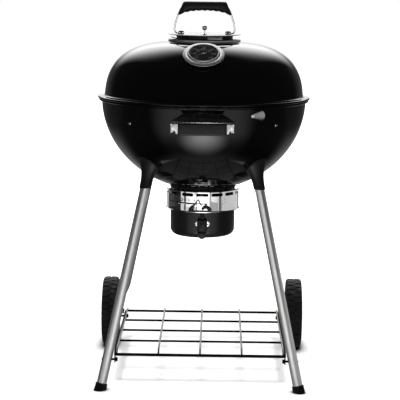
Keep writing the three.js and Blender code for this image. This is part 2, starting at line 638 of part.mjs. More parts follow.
/** A thin ring wall of the vent, with its windows turned by an angle. */
function ventWall(outer, turn) {
  const { wall, bottom, top, sill } = VENT;
  const windows = VENT_WINDOWS.map(([from, to]) =>
    sector(from + turn, to + turn, outer - wall - 3, outer + 3, bottom + sill, top - sill));
  return cut(pipe(outer, outer - wall, bottom + 0.3, top, SIDES.shell), ...windows);
}

function ventDrum() {
  const { drumRadius, wall, bottom, sill } = VENT;
  const leverSlot = sector(VENT_LEVER_SLOT.from, VENT_LEVER_SLOT.to, drumRadius - wall - 3, drumRadius + 3, bottom - 1, bottom + sill + 0.4);
  return cut(ventWall(drumRadius, 0), leverSlot);
}

/** Damper ring that turns inside the drum, with its lever through the slot. */
function damperRing() {
  const outer = VENT.drumRadius - VENT.wall - 2 * GAP;
  const low = VENT.bottom + 0.4;
  const lever = block([-outer - 17, -6, low], [-outer + 1, 6, low + 1.8]);
  const places = lever.attributes.position;
  for (let i = 0; i < places.count; i += 1) {
    if (places.getX(i) < -outer - 10) places.setZ(i, places.getZ(i) + 4);
  }
  return join(ventWall(outer, VENT_TURN), lever);
}

function heatShield() {
  const { radius, bottom, thickness } = SHIELD;
  const top = bottom + thickness;
  const plate = turned([
    [0, bottom], [radius - 6, bottom], [radius, bottom + 1.4], [radius, top + 1.4], [radius - 6, top], [0, top],
  ], SIDES.shell);
  const holes = [-BAIL.foot, BAIL.foot].map((x) => disc(BAIL.wire + GAP, 900, 950, 12).translate(x, 0, 0));
  return cut(plate, ...holes, disc(KNOB.stem + GAP, 900, 950, 12));
}

/** Ball knob on a short stem through the middle of the heat shield. */
function shieldKnob() {
  const { radius, z, stem } = KNOB;
  const under = SHIELD.bottom - GAP;
  const over = SHIELD.bottom + SHIELD.thickness + GAP;
  const start = Math.asin(stem / radius);
  const ball = Array.from({ length: 9 }, (_, i) => {
    const t = start + ((Math.PI - start) * i) / 8;
    return [i === 8 ? 0 : radius * Math.sin(t), z - radius * Math.cos(t)];
  });
  return turned([
    [0, under - 4], [6, under - 4], [6, under], [stem, under], [stem, over], [6, over], [5, over + 1.4], [stem, over + 2],
    ...ball,
  ], SIDES.small);
}

const bailPath = () => {
  const { foot, bow, end, top } = BAIL;
  const left = [
    [-foot - 6, 0, SHIELD_TOP + 2.8], [-bow + 4, 0, SHIELD_TOP + 4], [-bow, 0, SHIELD_TOP + 12],
    [-bow + 3, 0, 963], [-end, 0, GRIP.bottom + 2], [-end + 7, 0, top - 6], [-end + 18, 0, top],
  ];
  return [...left, ...left.map(([x, y, z]) => [-x, y, z]).reverse()];
};

function handleBail() {
  const eyes = [-1, 1].map((side) =>
    disc(8, SHIELD_TOP + GAP, SHIELD_TOP + BAIL.eye, 16).translate(side * BAIL.foot, 0, 0));
  const holes = [-1, 1].map((side) => disc(BAIL.wire + GAP, 900, 950, 12).translate(side * BAIL.foot, 0, 0));
  return cut(join(wire(bailPath(), BAIL.wire, 28, 4), ...eyes), ...holes);
}

function handleGrip() {
  const { top, bottom, halfTop, halfEnd, thickness, depth } = GRIP;
  const shape = new THREE.Shape();
  shape.moveTo(-halfEnd, bottom);
  shape.quadraticCurveTo(-halfEnd + 3, top - 4, -halfTop, top);
  shape.lineTo(halfTop, top);
  shape.quadraticCurveTo(halfEnd - 3, top - 4, halfEnd, bottom);
  shape.lineTo(halfEnd - 9, bottom);
  shape.quadraticCurveTo(halfEnd - 22, top - thickness, 0, top - thickness);
  shape.quadraticCurveTo(-halfEnd + 22, top - thickness, -halfEnd + 9, bottom);
  shape.lineTo(-halfEnd, bottom);
  const body = facing(shape, depth / 2, depth);
  return cut(body, wire(bailPath(), BAIL.wire + GAP, 28, 4));
}

/** Domed bolt that holds one end of the bail through the shield and the lid. */
function bailBolt() {
  const seat = SHIELD_TOP + BAIL.eye + 2 * GAP;
  return turned([
    [0, 908], [BAIL.wire, 908], [BAIL.wire, seat], [6.8, seat], [6.6, seat + 2.4], [5, seat + 4], [0, seat + 4.6],
  ], 20);
}

function addDial() {
  const seat = dialSeat();
  const dial = new THREE.Group();
  dial.position.set(...seat.place);
  dial.rotation.x = seat.tip;
  group.add(dial);
  const { caseRadius, bezelRadius, stem, stemLength } = DIAL;
  const inner = caseRadius - 1.2;
  const place = (name, geometry, look) => add(name, geometry, look, [0, 0, 0], dial);
  place('thermometer_case', turned([
    [0, -stemLength], [stem, -stemLength + 2], [stem, 0.6], [caseRadius, 0.6], [caseRadius, 5], [0, 5],
  ]), 'steel');
  place('thermometer_bezel', turnedRing([
    [caseRadius + GAP, 1.5], [caseRadius + GAP, 5.3], [inner + GAP, 5.3], [inner + GAP, 9.2], [inner + 3, 9.6],
    [caseRadius + 4.5, 7.5], [caseRadius + 6, 5.6], [bezelRadius - 2, 4.2], [bezelRadius, 3], [bezelRadius - 0.6, 2],
    [caseRadius + 5, 2.4],
  ], 26), 'steel');
  place('thermometer_dial', disc(inner, 5.4, 6), 'dial');
  const needle = join(disc(4, 6.4, 7, 16), block([-1.2, -9, 6.4], [1.2, inner - 6, 7]));
  place('thermometer_needle', needle.rotateZ(radians(118)), 'chrome');
  place('thermometer_glass', disc(inner, 7.6, 8.8), 'glass');
  place('thermometer_nut', cut(disc(9, -7, -SHEET - 1.2, 6), disc(stem + GAP, -10, 0, 14)), 'steel');
}

function addLid() {
  add('lid_shell', lidShell(), 'enamel');
  add('vent_base_plate', pipe(VENT.plateRadius, 70, VENT.bottom - 1.6, VENT.bottom - 0.1, SIDES.shell), 'steel');
  add('vent_drum', ventDrum(), 'paint');
  add('vent_damper', damperRing(), 'paint');
  add('heat_shield', heatShield(), 'steel');
  add('shield_knob', shieldKnob(), 'chrome');
  add('handle_bail', handleBail(), 'chrome');
  add('handle_grip', handleGrip(), 'nylon');
  add('bail_bolt_left', bailBolt(), 'nylon', [-BAIL.foot, 0, 0]);
  add('bail_bolt_right', bailBolt(), 'nylon', [BAIL.foot, 0, 0]);
  addDial();
}

addLid();
addBowl();
addGrates();
addAshSide();
addLegs();
addWheels();
addShelf();

export default group;
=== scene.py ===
"""Kettle charcoal grill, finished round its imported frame.

Sizes are in millimetres and meshes in metres, +Z up, with the front of the grill towards -Y.
"""
import logging
import math
from collections.abc import Callable, Iterable, Sequence
from dataclasses import dataclass, field
from enum import Enum

import bmesh
import bpy
from mathutils import Matrix, Vector


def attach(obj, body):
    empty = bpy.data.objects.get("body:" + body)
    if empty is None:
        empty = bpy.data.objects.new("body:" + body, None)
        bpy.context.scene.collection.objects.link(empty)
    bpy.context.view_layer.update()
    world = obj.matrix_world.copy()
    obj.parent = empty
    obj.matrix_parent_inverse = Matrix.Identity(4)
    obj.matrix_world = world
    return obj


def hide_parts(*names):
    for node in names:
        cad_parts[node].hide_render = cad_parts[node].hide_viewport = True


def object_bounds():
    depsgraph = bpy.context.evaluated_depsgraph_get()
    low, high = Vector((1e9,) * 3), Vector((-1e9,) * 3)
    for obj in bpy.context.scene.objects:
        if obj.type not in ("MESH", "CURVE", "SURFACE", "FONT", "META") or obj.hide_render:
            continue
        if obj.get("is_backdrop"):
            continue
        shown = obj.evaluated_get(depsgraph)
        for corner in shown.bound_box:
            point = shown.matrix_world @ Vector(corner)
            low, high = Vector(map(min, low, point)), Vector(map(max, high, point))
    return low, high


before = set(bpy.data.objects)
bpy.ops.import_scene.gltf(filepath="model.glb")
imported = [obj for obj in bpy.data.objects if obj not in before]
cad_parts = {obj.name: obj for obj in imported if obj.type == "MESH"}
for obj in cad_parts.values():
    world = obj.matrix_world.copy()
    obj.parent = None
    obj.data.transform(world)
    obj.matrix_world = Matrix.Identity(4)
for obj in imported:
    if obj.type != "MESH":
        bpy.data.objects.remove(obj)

MM = 0.001
LOG = logging.getLogger("grill")

Flat = tuple[float, float]
Corner = tuple[float, float, float]
Rule = Callable[[Vector], Vector]
Socket = bpy.types.NodeSocket
Sockets = dict[str, Socket]

# place, side in X and side in Y of the four corners
CORNERS = (("front_right", 1, -1), ("front_left", -1, -1), ("rear_right", 1, 1), ("rear_left", -1, 1))
# half angle above which a corner counts as straight, in radians
STRAIGHT = 1.55
# the most of a side that a corner's rounding may take up
SIDE_SHARE = 0.499
# radius below which a point lies on the axis
ON_AXIS = 1e-6


# ---- outlines and solids --------------------------------------------------------------------
def arc(centre: Flat, radius: float, start: float, end: float, steps: int = 6) -> list[Flat]:
    """Points on a circle.

    Args:
        centre: middle of the circle.
        radius: its radius.
        start: first angle in degrees.
        end: last angle in degrees.
        steps: how many chords.

    Returns:
        The points from start to end.
    """
    angles = [math.radians(start + (end - start) * i / steps) for i in range(steps + 1)]
    return [(centre[0] + radius * math.cos(a), centre[1] + radius * math.sin(a)) for a in angles]


def rounded(corners: Sequence[Corner], steps: int = 4) -> list[Flat]:
    """A closed outline with each corner rounded.

    Args:
        corners: x, y and the radius of each corner.
        steps: chords in each rounding.

    Returns:
        The outline's points.
    """
    points: list[Flat] = []
    for i, (x, y, radius) in enumerate(corners):
        here = Vector((x, y))
        before = Vector(corners[i - 1][:2]) - here
        after = Vector(corners[(i + 1) % len(corners)][:2]) - here
        half = before.angle(after) / 2
        if radius <= 0 or half > STRAIGHT:
            points.append((x, y))
            continue
        run = min(radius / math.tan(half), before.length * SIDE_SHARE, after.length * SIDE_SHARE)
        middle = here + (before.normalized() + after.normalized()).normalized() * (run / math.cos(half))
        first = here + before.normalized() * run - middle
        last = here + after.normalized() * run - middle
        sweep = first.angle(last)
        for k in range(steps + 1):
            part = k / steps
            mix = first * math.sin((1 - part) * sweep) + last * math.sin(part * sweep)
            points.append(tuple(middle + mix / math.sin(sweep)))
    return points


def shrunk(outline: Sequence[Flat], distance: float) -> list[Flat]:
    """The outline moved inwards.

    Args:
        outline: a closed outline.
        distance: how far each side moves in.

    Returns:
        As many points as the outline has.
    """
    count = len(outline)
    area = sum(outline[i - 1][0] * outline[i][1] - outline[i][0] * outline[i - 1][1]
               for i in range(count))
    side = 1 if area > 0 else -1
    moved = []
    for i in range(count):
        here = Vector(outline[i])
        a = (here - Vector(outline[i - 1])).normalized()
        b = (Vector(outline[(i + 1) % count]) - here).normalized()
        first = Vector((-a.y, a.x)) * side
        inward = (first + Vector((-b.y, b.x)) * side).normalized()
        moved.append(tuple(here + inward * (distance / max(0.45, inward.dot(first)))))
    return moved


@dataclass
class Solid:
    """Vertices in millimetres and the faces of one or more closed solids.

    flow, when given, turns a vertex into the coordinates that a finish follows.
    """

    verts: list[Vector] = field(default_factory=list)
    faces: list[tuple[int, ...]] = field(default_factory=list)
    flow: Rule | None = None

    @classmethod
    def of(cls, mesh: bpy.types.Mesh) -> "Solid":
        """Reads a Blender mesh whose units are millimetres."""
        return cls([v.co.copy() for v in mesh.vertices], [tuple(p.vertices) for p in mesh.polygons])

    def join(self, *others: "Solid") -> "Solid":
        """Adds other solids to this one and returns it.

        Args:
            others: the solids to add.

        Returns:
            This solid.
        """
        for other in others:
            start = len(self.verts)
            self.verts += other.verts
            self.faces += [tuple(i + start for i in face) for face in other.faces]
        return self

    def moved(self, matrix: Matrix) -> "Solid":
        """A copy under a transform."""
        return Solid([matrix @ v for v in self.verts], list(self.faces), self.flow)

    def bent(self, rule: Rule) -> "Solid":
        """A copy with every vertex put through a rule."""
        return Solid([rule(v) for v in self.verts], list(self.faces), self.flow)

    def following(self, rule: Rule) -> "Solid":
        """The same solid with coordinates for its finish."""
        self.flow = rule
        return self

    def mesh(self, name: str, scale: float = 1.0) -> bpy.types.Mesh:
        """A Blender mesh of the solid, its doubles merged and its faces turned outwards.

        Args:
            name: the mesh's name.
            scale: what each coordinate is multiplied by.

        Returns:
            The mesh, not yet on an object.
        """
        made = bpy.data.meshes.new(name)
        made.from_pydata([v * scale for v in self.verts], [], self.faces)
        work = bmesh.new()
        work.from_mesh(made)
        bmesh.ops.remove_doubles(work, verts=work.verts, dist=1e-3 * scale)
        bmesh.ops.recalc_face_normals(work, faces=work.faces)
        work.to_mesh(made)
        work.free()
        return made


def loft(rings: Sequence[Sequence[Vector]], caps: bool = True) -> Solid:
    """Joins rings of equal length.

    Args:
        rings: the rings in order.
        caps: whether the ends are closed; otherwise the last ring meets the first.

    Returns:
        A closed solid.
    """
    size = len(rings[0])
    verts = [v for ring in rings for v in ring]
    bands = len(rings) - 1 if caps else len(rings)
    faces = []
    for k in range(bands):
        low, high = k * size, ((k + 1) % len(rings)) * size
        faces += [(low + i, low + (i + 1) % size, high + (i + 1) % size, high + i) for i in range(size)]
    if caps:
        faces += [tuple(range(size)), tuple(range(len(verts) - size, len(verts)))]
    return Solid(verts, faces)


def lathe(profile: Sequence[Flat], segments: int = 96) -> Solid:
    """Turns a profile about Z.

    Args:
        profile: radius and height of each point; it starts and ends on the axis or closes on itself.
        segments: facets round the axis.

    Returns:
        A closed solid.
    """
    verts: list[Vector] = []
    rows: list[list[int]] = []
    for radius, z in profile:
        if radius < ON_AXIS:
            rows.append([len(verts)] * segments)
            verts.append(Vector((0, 0, z)))
            continue
        rows.append(list(range(len(verts), len(verts) + segments)))
        turns = (2 * math.pi * i / segments for i in range(segments))
        verts += [Vector((radius * math.sin(a), radius * math.cos(a), z)) for a in turns]
    if profile[0][0] > ON_AXIS:
        rows.append(rows[0])
    faces = []
    for low, high in zip(rows, rows[1:]):
        for i in range(segments):
            j = (i + 1) % segments
            loop = dict.fromkeys((low[i], low[j], high[j], high[i]))
            if len(loop) > 2:
                faces.append(tuple(loop))
    return Solid(verts, faces)


def plate(outline: Sequence[Flat], low: float, high: float, ease: float = 0.4) -> Solid:
    """A flat outline raised along Z with its edges eased.

    Args:
        outline: closed outline in X and Y.
        low: height of the underside.
        high: height of the top.
        ease: size of the eased edge.

    Returns:
        A closed solid.
    """
    steps = [(ease, 0.0), (ease * 0.3, ease * 0.3), (0.0, ease)]
    levels = [(inset, low + rise) for inset, rise in steps]
    levels += [(inset, high - rise) for inset, rise in reversed(steps)]
    rings = [[Vector((x, y, z)) for x, y in (shrunk(outline, inset) if inset else outline)]
             for inset, z in levels]
    return loft(rings)


def facing(outline: Sequence[Flat], y: float, depth: float, ease: float = 0.6) -> Solid:
    """An outline drawn in X and Z, raised towards the front from y."""
    upright = Matrix.Rotation(math.pi / 2, 4, "X")
    return plate(outline, 0, depth, ease).moved(Matrix.Translation((0, y, 0)) @ upright)


def ring_of(count: int, across: Vector, up: Vector, centre: Vector) -> list[Vector]:
    """Points of an ellipse spanned by two half axes."""
    turns = (2 * math.pi * i / count for i in range(count))
    return [centre + across * math.cos(a) + up * math.sin(a) for a in turns]


def rod(start: Vector, end: Vector, radius: float, sides: int = 20, ease: float = 0.6) -> Solid:
    """A round bar between two points with its ends eased.

    Args:
        start: one end.
        end: the other end.
        radius: the bar's radius.
        sides: facets round it.
        ease: size of the eased edge.

    Returns:
        A closed solid.
    """
    along = (end - start).normalized()
    across = along.orthogonal().normalized()
    up = along.cross(across)
    stations = [(0, radius - ease), (ease, radius), ((end - start).length - ease, radius),
                ((end - start).length, radius - ease)]
    return loft([ring_of(sides, across * r, up * r, start + along * d) for d, r in stations])


def around(azimuth: float, radius: float, z: float) -> Vector:
    """A point on a circle, by degrees from the front towards +X."""
    turn = math.radians(azimuth)
    return Vector((radius * math.sin(turn), -radius * math.cos(turn), z))


def outward(v: Vector) -> Vector:
    """Coordinates for a finish drawn in rings about Z."""
    return Vector((math.hypot(v.x, v.y), v.z, 0))


def wrapped(radius: float) -> Rule:
    """Rule that rolls a drawing in X (along) and Z onto a cylinder; -Y is outwards."""
    return lambda v: around(math.degrees(v.x / radius), radius - v.y, v.z)


def carved(base: Solid, tool: Solid) -> Solid:
    """The base with the tool's space cut out of it.

    Args:
        base: what is cut.
        tool: what is taken away.

    Returns:
        The rest of the base.
    """
    pieces = [bpy.data.objects.new(name, shape.mesh(name))
              for name, shape in (("base", base), ("tool", tool))]
    for piece in pieces:
        bpy.context.scene.collection.objects.link(piece)
    cutter = pieces[0].modifiers.new("cut", "BOOLEAN")
    cutter.object = pieces[1]
    cutter.solver = "EXACT"
    cutter.use_self = True
    result = evaluated(pieces[0])
    for piece in pieces:
        bpy.data.objects.remove(piece)
    return result


def evaluated(source: bpy.types.Object) -> Solid:
    """An object with its modifiers, read back as a solid.

    Args:
        source: an object with modifiers.

    Returns:
        Its final shape.
    """
    bpy.context.view_layer.update()
    graph = bpy.context.evaluated_depsgraph_get()
    mesh = bpy.data.meshes.new_from_object(source.evaluated_get(graph), depsgraph=graph)
    return Solid.of(mesh)


# ---- node trees -----------------------------------------------------------------------------
@dataclass
class Wiring:
    """Adds and joins the nodes of one tree."""

    tree: bpy.types.NodeTree

    def node(self, kind: str, feeds: dict | None = None, **settings: object) -> bpy.types.Node:
        """Adds a node.

        Args:
            kind: the node's type.
            feeds: input name or number to a value or an output socket.
            settings: the node's own properties.

        Returns:
            The node.
        """
        made = self.tree.nodes.new(kind)
        for key, value in settings.items():
            setattr(made, key, value)
        for key, value in (feeds or {}).items():
            socket = made.inputs[key]
            if isinstance(value, Socket):
                self.tree.links.new(value, socket)
            else:
                socket.default_value = value
        return made

    def sum(self, operation: str, a: object, b: object = 0.0) -> Socket:
        """A Math node's result."""
        kind = "ShaderNodeMath"
        return self.node(kind, {0: a, 1: b}, operation=operation).outputs[0]

    def ramp(self, value: Socket, low: float, high: float, start: float = 0, end: float = 1) -> Socket:
        """A value moved smoothly from one range to another."""
        feeds = {"Value": value, "From Min": low, "From Max": high, "To Min": start, "To Max": end}
        return self.node("ShaderNodeMapRange", feeds, interpolation_type="SMOOTHSTEP").outputs[0]

    def sockets(self, kind: str, names: dict[str, tuple[str, object]]) -> None:
        """Args:
            kind: INPUT or OUTPUT.
            names: each socket's type and default.
        """
        for name, (socket_type, value) in names.items():
            made = self.tree.interface.new_socket(name=name, in_out=kind, socket_type=socket_type)
            if value is not None:
                made.default_value = value


@dataclass
class Pattern:
    """A geometry-node tree with named sizes, run once on a base solid."""

    name: str = "pattern"
    sizes: tuple[tuple[str, str], ...] = ()

    def wire(self, wiring: Wiring, base: Socket, sizes: Sockets) -> Socket:
        """Builds the middle of the tree and returns its geometry."""
        raise NotImplementedError

    def tree(self) -> bpy.types.NodeTree:
        """The node tree, made at its first use.

        Returns:
            The tree, with one input for each size.
        """
        if self.name in bpy.data.node_groups:
            return bpy.data.node_groups[self.name]
        tree = bpy.data.node_groups.new(self.name, "GeometryNodeTree")
        wiring = Wiring(tree)
        wiring.sockets("OUTPUT", {"Geometry": ("NodeSocketGeometry", None)})
        wiring.sockets("INPUT", {"Geometry": ("NodeSocketGeometry", None)})
        wiring.sockets("INPUT", {name: (kind, None) for name, kind in self.sizes})
        wiring.sockets("INPUT", {"Material": ("NodeSocketMaterial", None)})
        enter = wiring.node("NodeGroupInput")
        made = self.wire(wiring, enter.outputs["Geometry"], {s.name: s for s in enter.outputs if s.name})
        plain = wiring.node("GeometryNodeRealizeInstances", {"Geometry": made}).outputs[0]
        feeds = {"Geometry": plain, "Material": enter.outputs["Material"]}
        dressed = wiring.node("GeometryNodeSetMaterial", feeds).outputs[0]
        wiring.node("NodeGroupOutput", {"Geometry": dressed})
        return tree

    def run(self, base: Solid, edges: Sequence[tuple[int, int]] = (), **sizes: float) -> Solid:
        """Applies the tree.

        Args:
            base: the solid, or the points of wires, that the tree starts from.
            edges: edges between the base's points, when it has no faces.
            sizes: values of the tree's named inputs.

        Returns:
            The finished solid.
        """
        tree = self.tree()
        mesh = bpy.data.meshes.new(self.name)
        mesh.from_pydata(base.verts, list(edges), base.faces)
        carrier = bpy.data.objects.new(self.name, mesh)
        bpy.context.scene.collection.objects.link(carrier)
        modifier = carrier.modifiers.new(self.name, "NODES")
        modifier.node_group = tree
        for item in tree.interface.items_tree:
            if item.in_out == "INPUT" and item.name in sizes:
                modifier[item.identifier] = sizes[item.name]
        result = evaluated(carrier)
        bpy.data.objects.remove(carrier)
        return result


@dataclass
class RingArray(Pattern):
    """Repeats the base about Z."""

    name: str = "ring_array"
    sizes: tuple[tuple[str, str], ...] = (("Count", "NodeSocketInt"), ("Step", "NodeSocketFloat"))

    def wire(self, wiring: Wiring, base: Socket, sizes: Sockets) -> Socket:
        """Puts one turned copy of the base on each of Count points.

        Args:
            wiring: the tree's wiring.
            base: the geometry that comes in.
            sizes: the tree's named sizes.

        Returns:
            The middle's geometry.
        """
        points = wiring.node("GeometryNodePoints", {"Count": sizes["Count"]}).outputs[0]
        index = wiring.node("GeometryNodeInputIndex").outputs[0]
        turn = wiring.node("ShaderNodeCombineXYZ",
                           {"Z": wiring.sum("MULTIPLY", index, sizes["Step"])}).outputs[0]
        feeds = {"Points": points, "Instance": base, "Rotation": turn}
        return wiring.node("GeometryNodeInstanceOnPoints", feeds).outputs[0]


@dataclass
class Grating(Pattern):
    """Lays bars of unit length side by side, each as long as a circle allows."""

    name: str = "grating"
    sizes: tuple[tuple[str, str], ...] = (("Count", "NodeSocketInt"), ("Reach", "NodeSocketFloat"))

    def wire(self, wiring: Wiring, base: Socket, sizes: Sockets) -> Socket:
        """Puts one stretched bar on each of Count points across the circle.

        Args:
            wiring: the tree's wiring.
            base: the geometry that comes in.
            sizes: the tree's named sizes.

        Returns:
            The middle's geometry.
        """
        index = wiring.node("GeometryNodeInputIndex").outputs[0]
        spaces = wiring.sum("ADD", sizes["Count"], 1.0)
        part = wiring.sum("DIVIDE", wiring.sum("ADD", index, 1.0), spaces)
        side = wiring.sum("SUBTRACT", wiring.sum("MULTIPLY", part, 2.0), 1.0)
        half = wiring.sum("SQRT", wiring.sum("SUBTRACT", 1.0, wiring.sum("MULTIPLY", side, side)))
        reach = sizes["Reach"]
        place = wiring.node("ShaderNodeCombineXYZ", {"X": wiring.sum("MULTIPLY", side, reach)}).outputs[0]
        points = wiring.node("GeometryNodePoints",
                             {"Count": sizes["Count"], "Position": place}).outputs[0]
        stretch = {"X": 1.0, "Y": wiring.sum("MULTIPLY", half, reach), "Z": 1.0}
        scale = wiring.node("ShaderNodeCombineXYZ", stretch).outputs[0]
        keep = wiring.node("GeometryNodeStoreNamedAttribute",
                           {"Geometry": points, "Name": "stretch", "Value": scale},
                           data_type="FLOAT_VECTOR", domain="POINT").outputs[0]
        read = wiring.node("GeometryNodeInputNamedAttribute", {"Name": "stretch"},
                           data_type="FLOAT_VECTOR").outputs[0]
        feeds = {"Points": keep, "Instance": base, "Scale": read}
        return wiring.node("GeometryNodeInstanceOnPoints", feeds).outputs[0]


@dataclass
class Wires(Pattern):
    """Turns edges into round wire with rounded bends."""

    name: str = "wires"
    sizes: tuple[tuple[str, str], ...] = (
        ("Radius", "NodeSocketFloat"), ("Bend", "NodeSocketFloat"), ("Sides", "NodeSocketInt"))

    def wire(self, wiring: Wiring, base: Socket, sizes: Sockets) -> Socket:
        """Sweeps a circle along each run of edges.

        Args:
            wiring: the tree's wiring.
            base: the geometry that comes in.
            sizes: the tree's named sizes.

        Returns:
            The middle's geometry.
        """
        curve = wiring.node("GeometryNodeMeshToCurve", {"Mesh": base}).outputs[0]
        feeds = {"Curve": curve, "Radius": sizes["Bend"], "Limit Radius": True, "Count": 6}
        smooth = wiring.node("GeometryNodeFilletCurve", feeds, mode="POLY").outputs[0]
        section = {"Resolution": sizes["Sides"], "Radius": sizes["Radius"]}
        profile = wiring.node("GeometryNodeCurvePrimitiveCircle", section).outputs[0]
        sweep = {"Curve": smooth, "Profile Curve": profile, "Fill Caps": True}
        return wiring.node("GeometryNodeCurveToMesh", sweep).outputs[0]


def wires(runs: Iterable[Sequence[Vector]], radius: float, bend: float = 0.0, sides: int = 12) -> Solid:
    """Round wires along runs of points.

    Args:
        runs: the points of each wire.
        radius: radius of the wire.
        bend: radius of its bends.
        sides: facets round the wire.

    Returns:
        All the wires in one solid.
    """
    points: list[Vector] = []
    edges: list[tuple[int, int]] = []
    for run in runs:
        edges += [(len(points) + i, len(points) + i + 1) for i in range(len(run) - 1)]
        points += run
    return Wires().run(Solid(points), edges, Radius=radius, Bend=bend, Sides=sides)


def repeated(shape: Solid, count: int, step: float | None = None) -> Solid:
    """Copies of a solid turned about Z, by a step in degrees or evenly round."""
    turn = math.radians(step) if step is not None else 2 * math.pi / count
    return RingArray().run(shape, Count=count, Step=turn)


# ---- finishes -------------------------------------------------------------------------------
class Slot(Enum):
    """Material slots of the record."""

    ENAMEL = "black_enamel"
    SATIN = "satin_black"
    BRIGHT = "bright_steel"
    BRUSHED = "brushed_steel"
    WIRE = "grate_wire"
    SHIELD = "shield_aluminium"
    NYLON = "black_nylon"
    TYRE = "tyre_black"
    DIAL = "dial_face"
    GLASS = "dial_glass"


class Texture(Enum):
    """What a finish's fine surface is like."""

    PEEL = "gentle waves of fired enamel"
    GRAIN = "fine moulded or sprayed grain"
    BRUSH = "drawn lines along the piece"


GREY = "NodeSocketColor"
VALUE = "NodeSocketFloat"
PLACE = "NodeSocketVector"


class Effects:
    """Shader node groups that several finishes share, each built once."""

    @staticmethod
    def group(name: str, takes: dict[str, tuple[str, object]],
              gives: dict[str, str]) -> tuple[bpy.types.NodeTree, Wiring | None]:
        """Finds a group or starts it; the wiring is None when the group was there already.

        Args:
            name: the group's name.
            takes: each input's type and default.
            gives: each output's type.

        Returns:
            The group and its wiring.
        """
        if name in bpy.data.node_groups:
            return bpy.data.node_groups[name], None
        tree = bpy.data.node_groups.new(name, "ShaderNodeTree")
        wiring = Wiring(tree)
        wiring.sockets("INPUT", takes)
        wiring.sockets("OUTPUT", {key: (kind, None) for key, kind in gives.items()})
        return tree, wiring

    @staticmethod
    def handling() -> bpy.types.NodeTree:
        """Uneven colour and sheen from use: a broad smear and a fine speckle.

        Returns:
            The node group.
        """
        takes = {"Place": (PLACE, None), "Colour": (GREY, None), "Worn": (GREY, None),
                 "Amount": (VALUE, 0.3), "Scale": (VALUE, 9.0), "Roughness": (VALUE, 0.3),
                 "Spread": (VALUE, 0.1)}
        tree, wiring = Effects.group("handling", takes, {"Colour": GREY, "Roughness": VALUE})
        if wiring is None:
            return tree
        enter = wiring.node("NodeGroupInput").outputs
        broad = wiring.node("ShaderNodeTexNoise",
                            {"Vector": enter["Place"], "Scale": enter["Scale"], "Detail": 5.0,
                             "Roughness": 0.62})
        fine_scale = wiring.sum("MULTIPLY", enter["Scale"], 23.0)
        fine = wiring.node("ShaderNodeTexNoise",
                           {"Vector": enter["Place"], "Scale": fine_scale, "Detail": 2.0})
        blend = wiring.sum("MULTIPLY", broad.outputs[0],
                           wiring.ramp(fine.outputs[0], 0.25, 0.75, 0.6, 1.0))
        mask = wiring.sum("MULTIPLY", wiring.ramp(blend, 0.3, 0.75), enter["Amount"])
        mix = wiring.node("ShaderNodeMix", {"Factor": mask, 6: enter["Colour"], 7: enter["Worn"]},
                          data_type="RGBA")
        shift = wiring.sum("MULTIPLY", wiring.sum("SUBTRACT", blend, 0.42), enter["Spread"])
        rough = wiring.sum("ADD", enter["Roughness"], shift)
        wiring.node("NodeGroupOutput", {"Colour": mix.outputs[2], "Roughness": rough})
        return tree

    @staticmethod
    def dust() -> bpy.types.NodeTree:
        """A thin veil of dust on faces that look up.

        Returns:
            The node group.
        """
        takes = {"Place": (PLACE, None), "Colour": (GREY, None), "Roughness": (VALUE, 0.3),
                 "Amount": (VALUE, 0.1)}
        tree, wiring = Effects.group("dust", takes, {"Colour": GREY, "Roughness": VALUE})
        if wiring is None:
            return tree
        enter = wiring.node("NodeGroupInput").outputs
        normal = wiring.node("ShaderNodeNewGeometry").outputs["Normal"]
        up = wiring.node("ShaderNodeSeparateXYZ", {0: normal}).outputs["Z"]
        speck = wiring.node("ShaderNodeTexNoise",
                            {"Vector": enter["Place"], "Scale": 60.0, "Detail": 6.0}).outputs[0]
        mask = wiring.sum("MULTIPLY", wiring.ramp(up, 0.4, 1.0), wiring.ramp(speck, 0.4, 0.7))
        mask = wiring.sum("MULTIPLY", mask, enter["Amount"])
        pale = (0.42, 0.41, 0.39, 1)
        mix = wiring.node("ShaderNodeMix", {"Factor": mask, 6: enter["Colour"], 7: pale},
                          data_type="RGBA")
        rough = wiring.sum("ADD", enter["Roughness"], wiring.sum("MULTIPLY", mask, 0.5))
        wiring.node("NodeGroupOutput", {"Colour": mix.outputs[2], "Roughness": rough})
        return tree

    @staticmethod
    def relief(texture: Texture) -> bpy.types.NodeTree:
        """Height of the fine surface.

        Args:
            texture: the kind of surface.

        Returns:
            The node group.
        """
        takes = {"Place": (PLACE, None), "Scale": (VALUE, 100.0)}
        tree, wiring = Effects.group(f"relief_{texture.name.lower()}", takes,
                                     {"Height": VALUE, "Shade": VALUE})
        if wiring is None:
            return tree
        enter = wiring.node("NodeGroupInput").outputs
        place: Socket = enter["Place"]
        if texture is Texture.BRUSH:
            squeeze = wiring.node("ShaderNodeMapping", {"Vector": place, "Scale": (1.0, 1.0, 0.012)})
            place = squeeze.outputs[0]
        detail = {Texture.PEEL: 1.0, Texture.GRAIN: 3.0, Texture.BRUSH: 4.0}[texture]
        noise = wiring.node("ShaderNodeTexNoise",
                            {"Vector": place, "Scale": enter["Scale"], "Detail": detail})
        height = noise.outputs[0]
        if texture is Texture.GRAIN:
            cells = wiring.node("ShaderNodeTexVoronoi",
                                {"Vector": place, "Scale": enter["Scale"]}).outputs[0]
            height = wiring.sum("ADD", wiring.sum("MULTIPLY", cells, 0.7), height)
        wiring.node("NodeGroupOutput",
                    {"Height": height, "Shade": wiring.ramp(noise.outputs[0], 0.3, 0.7)})
        return tree


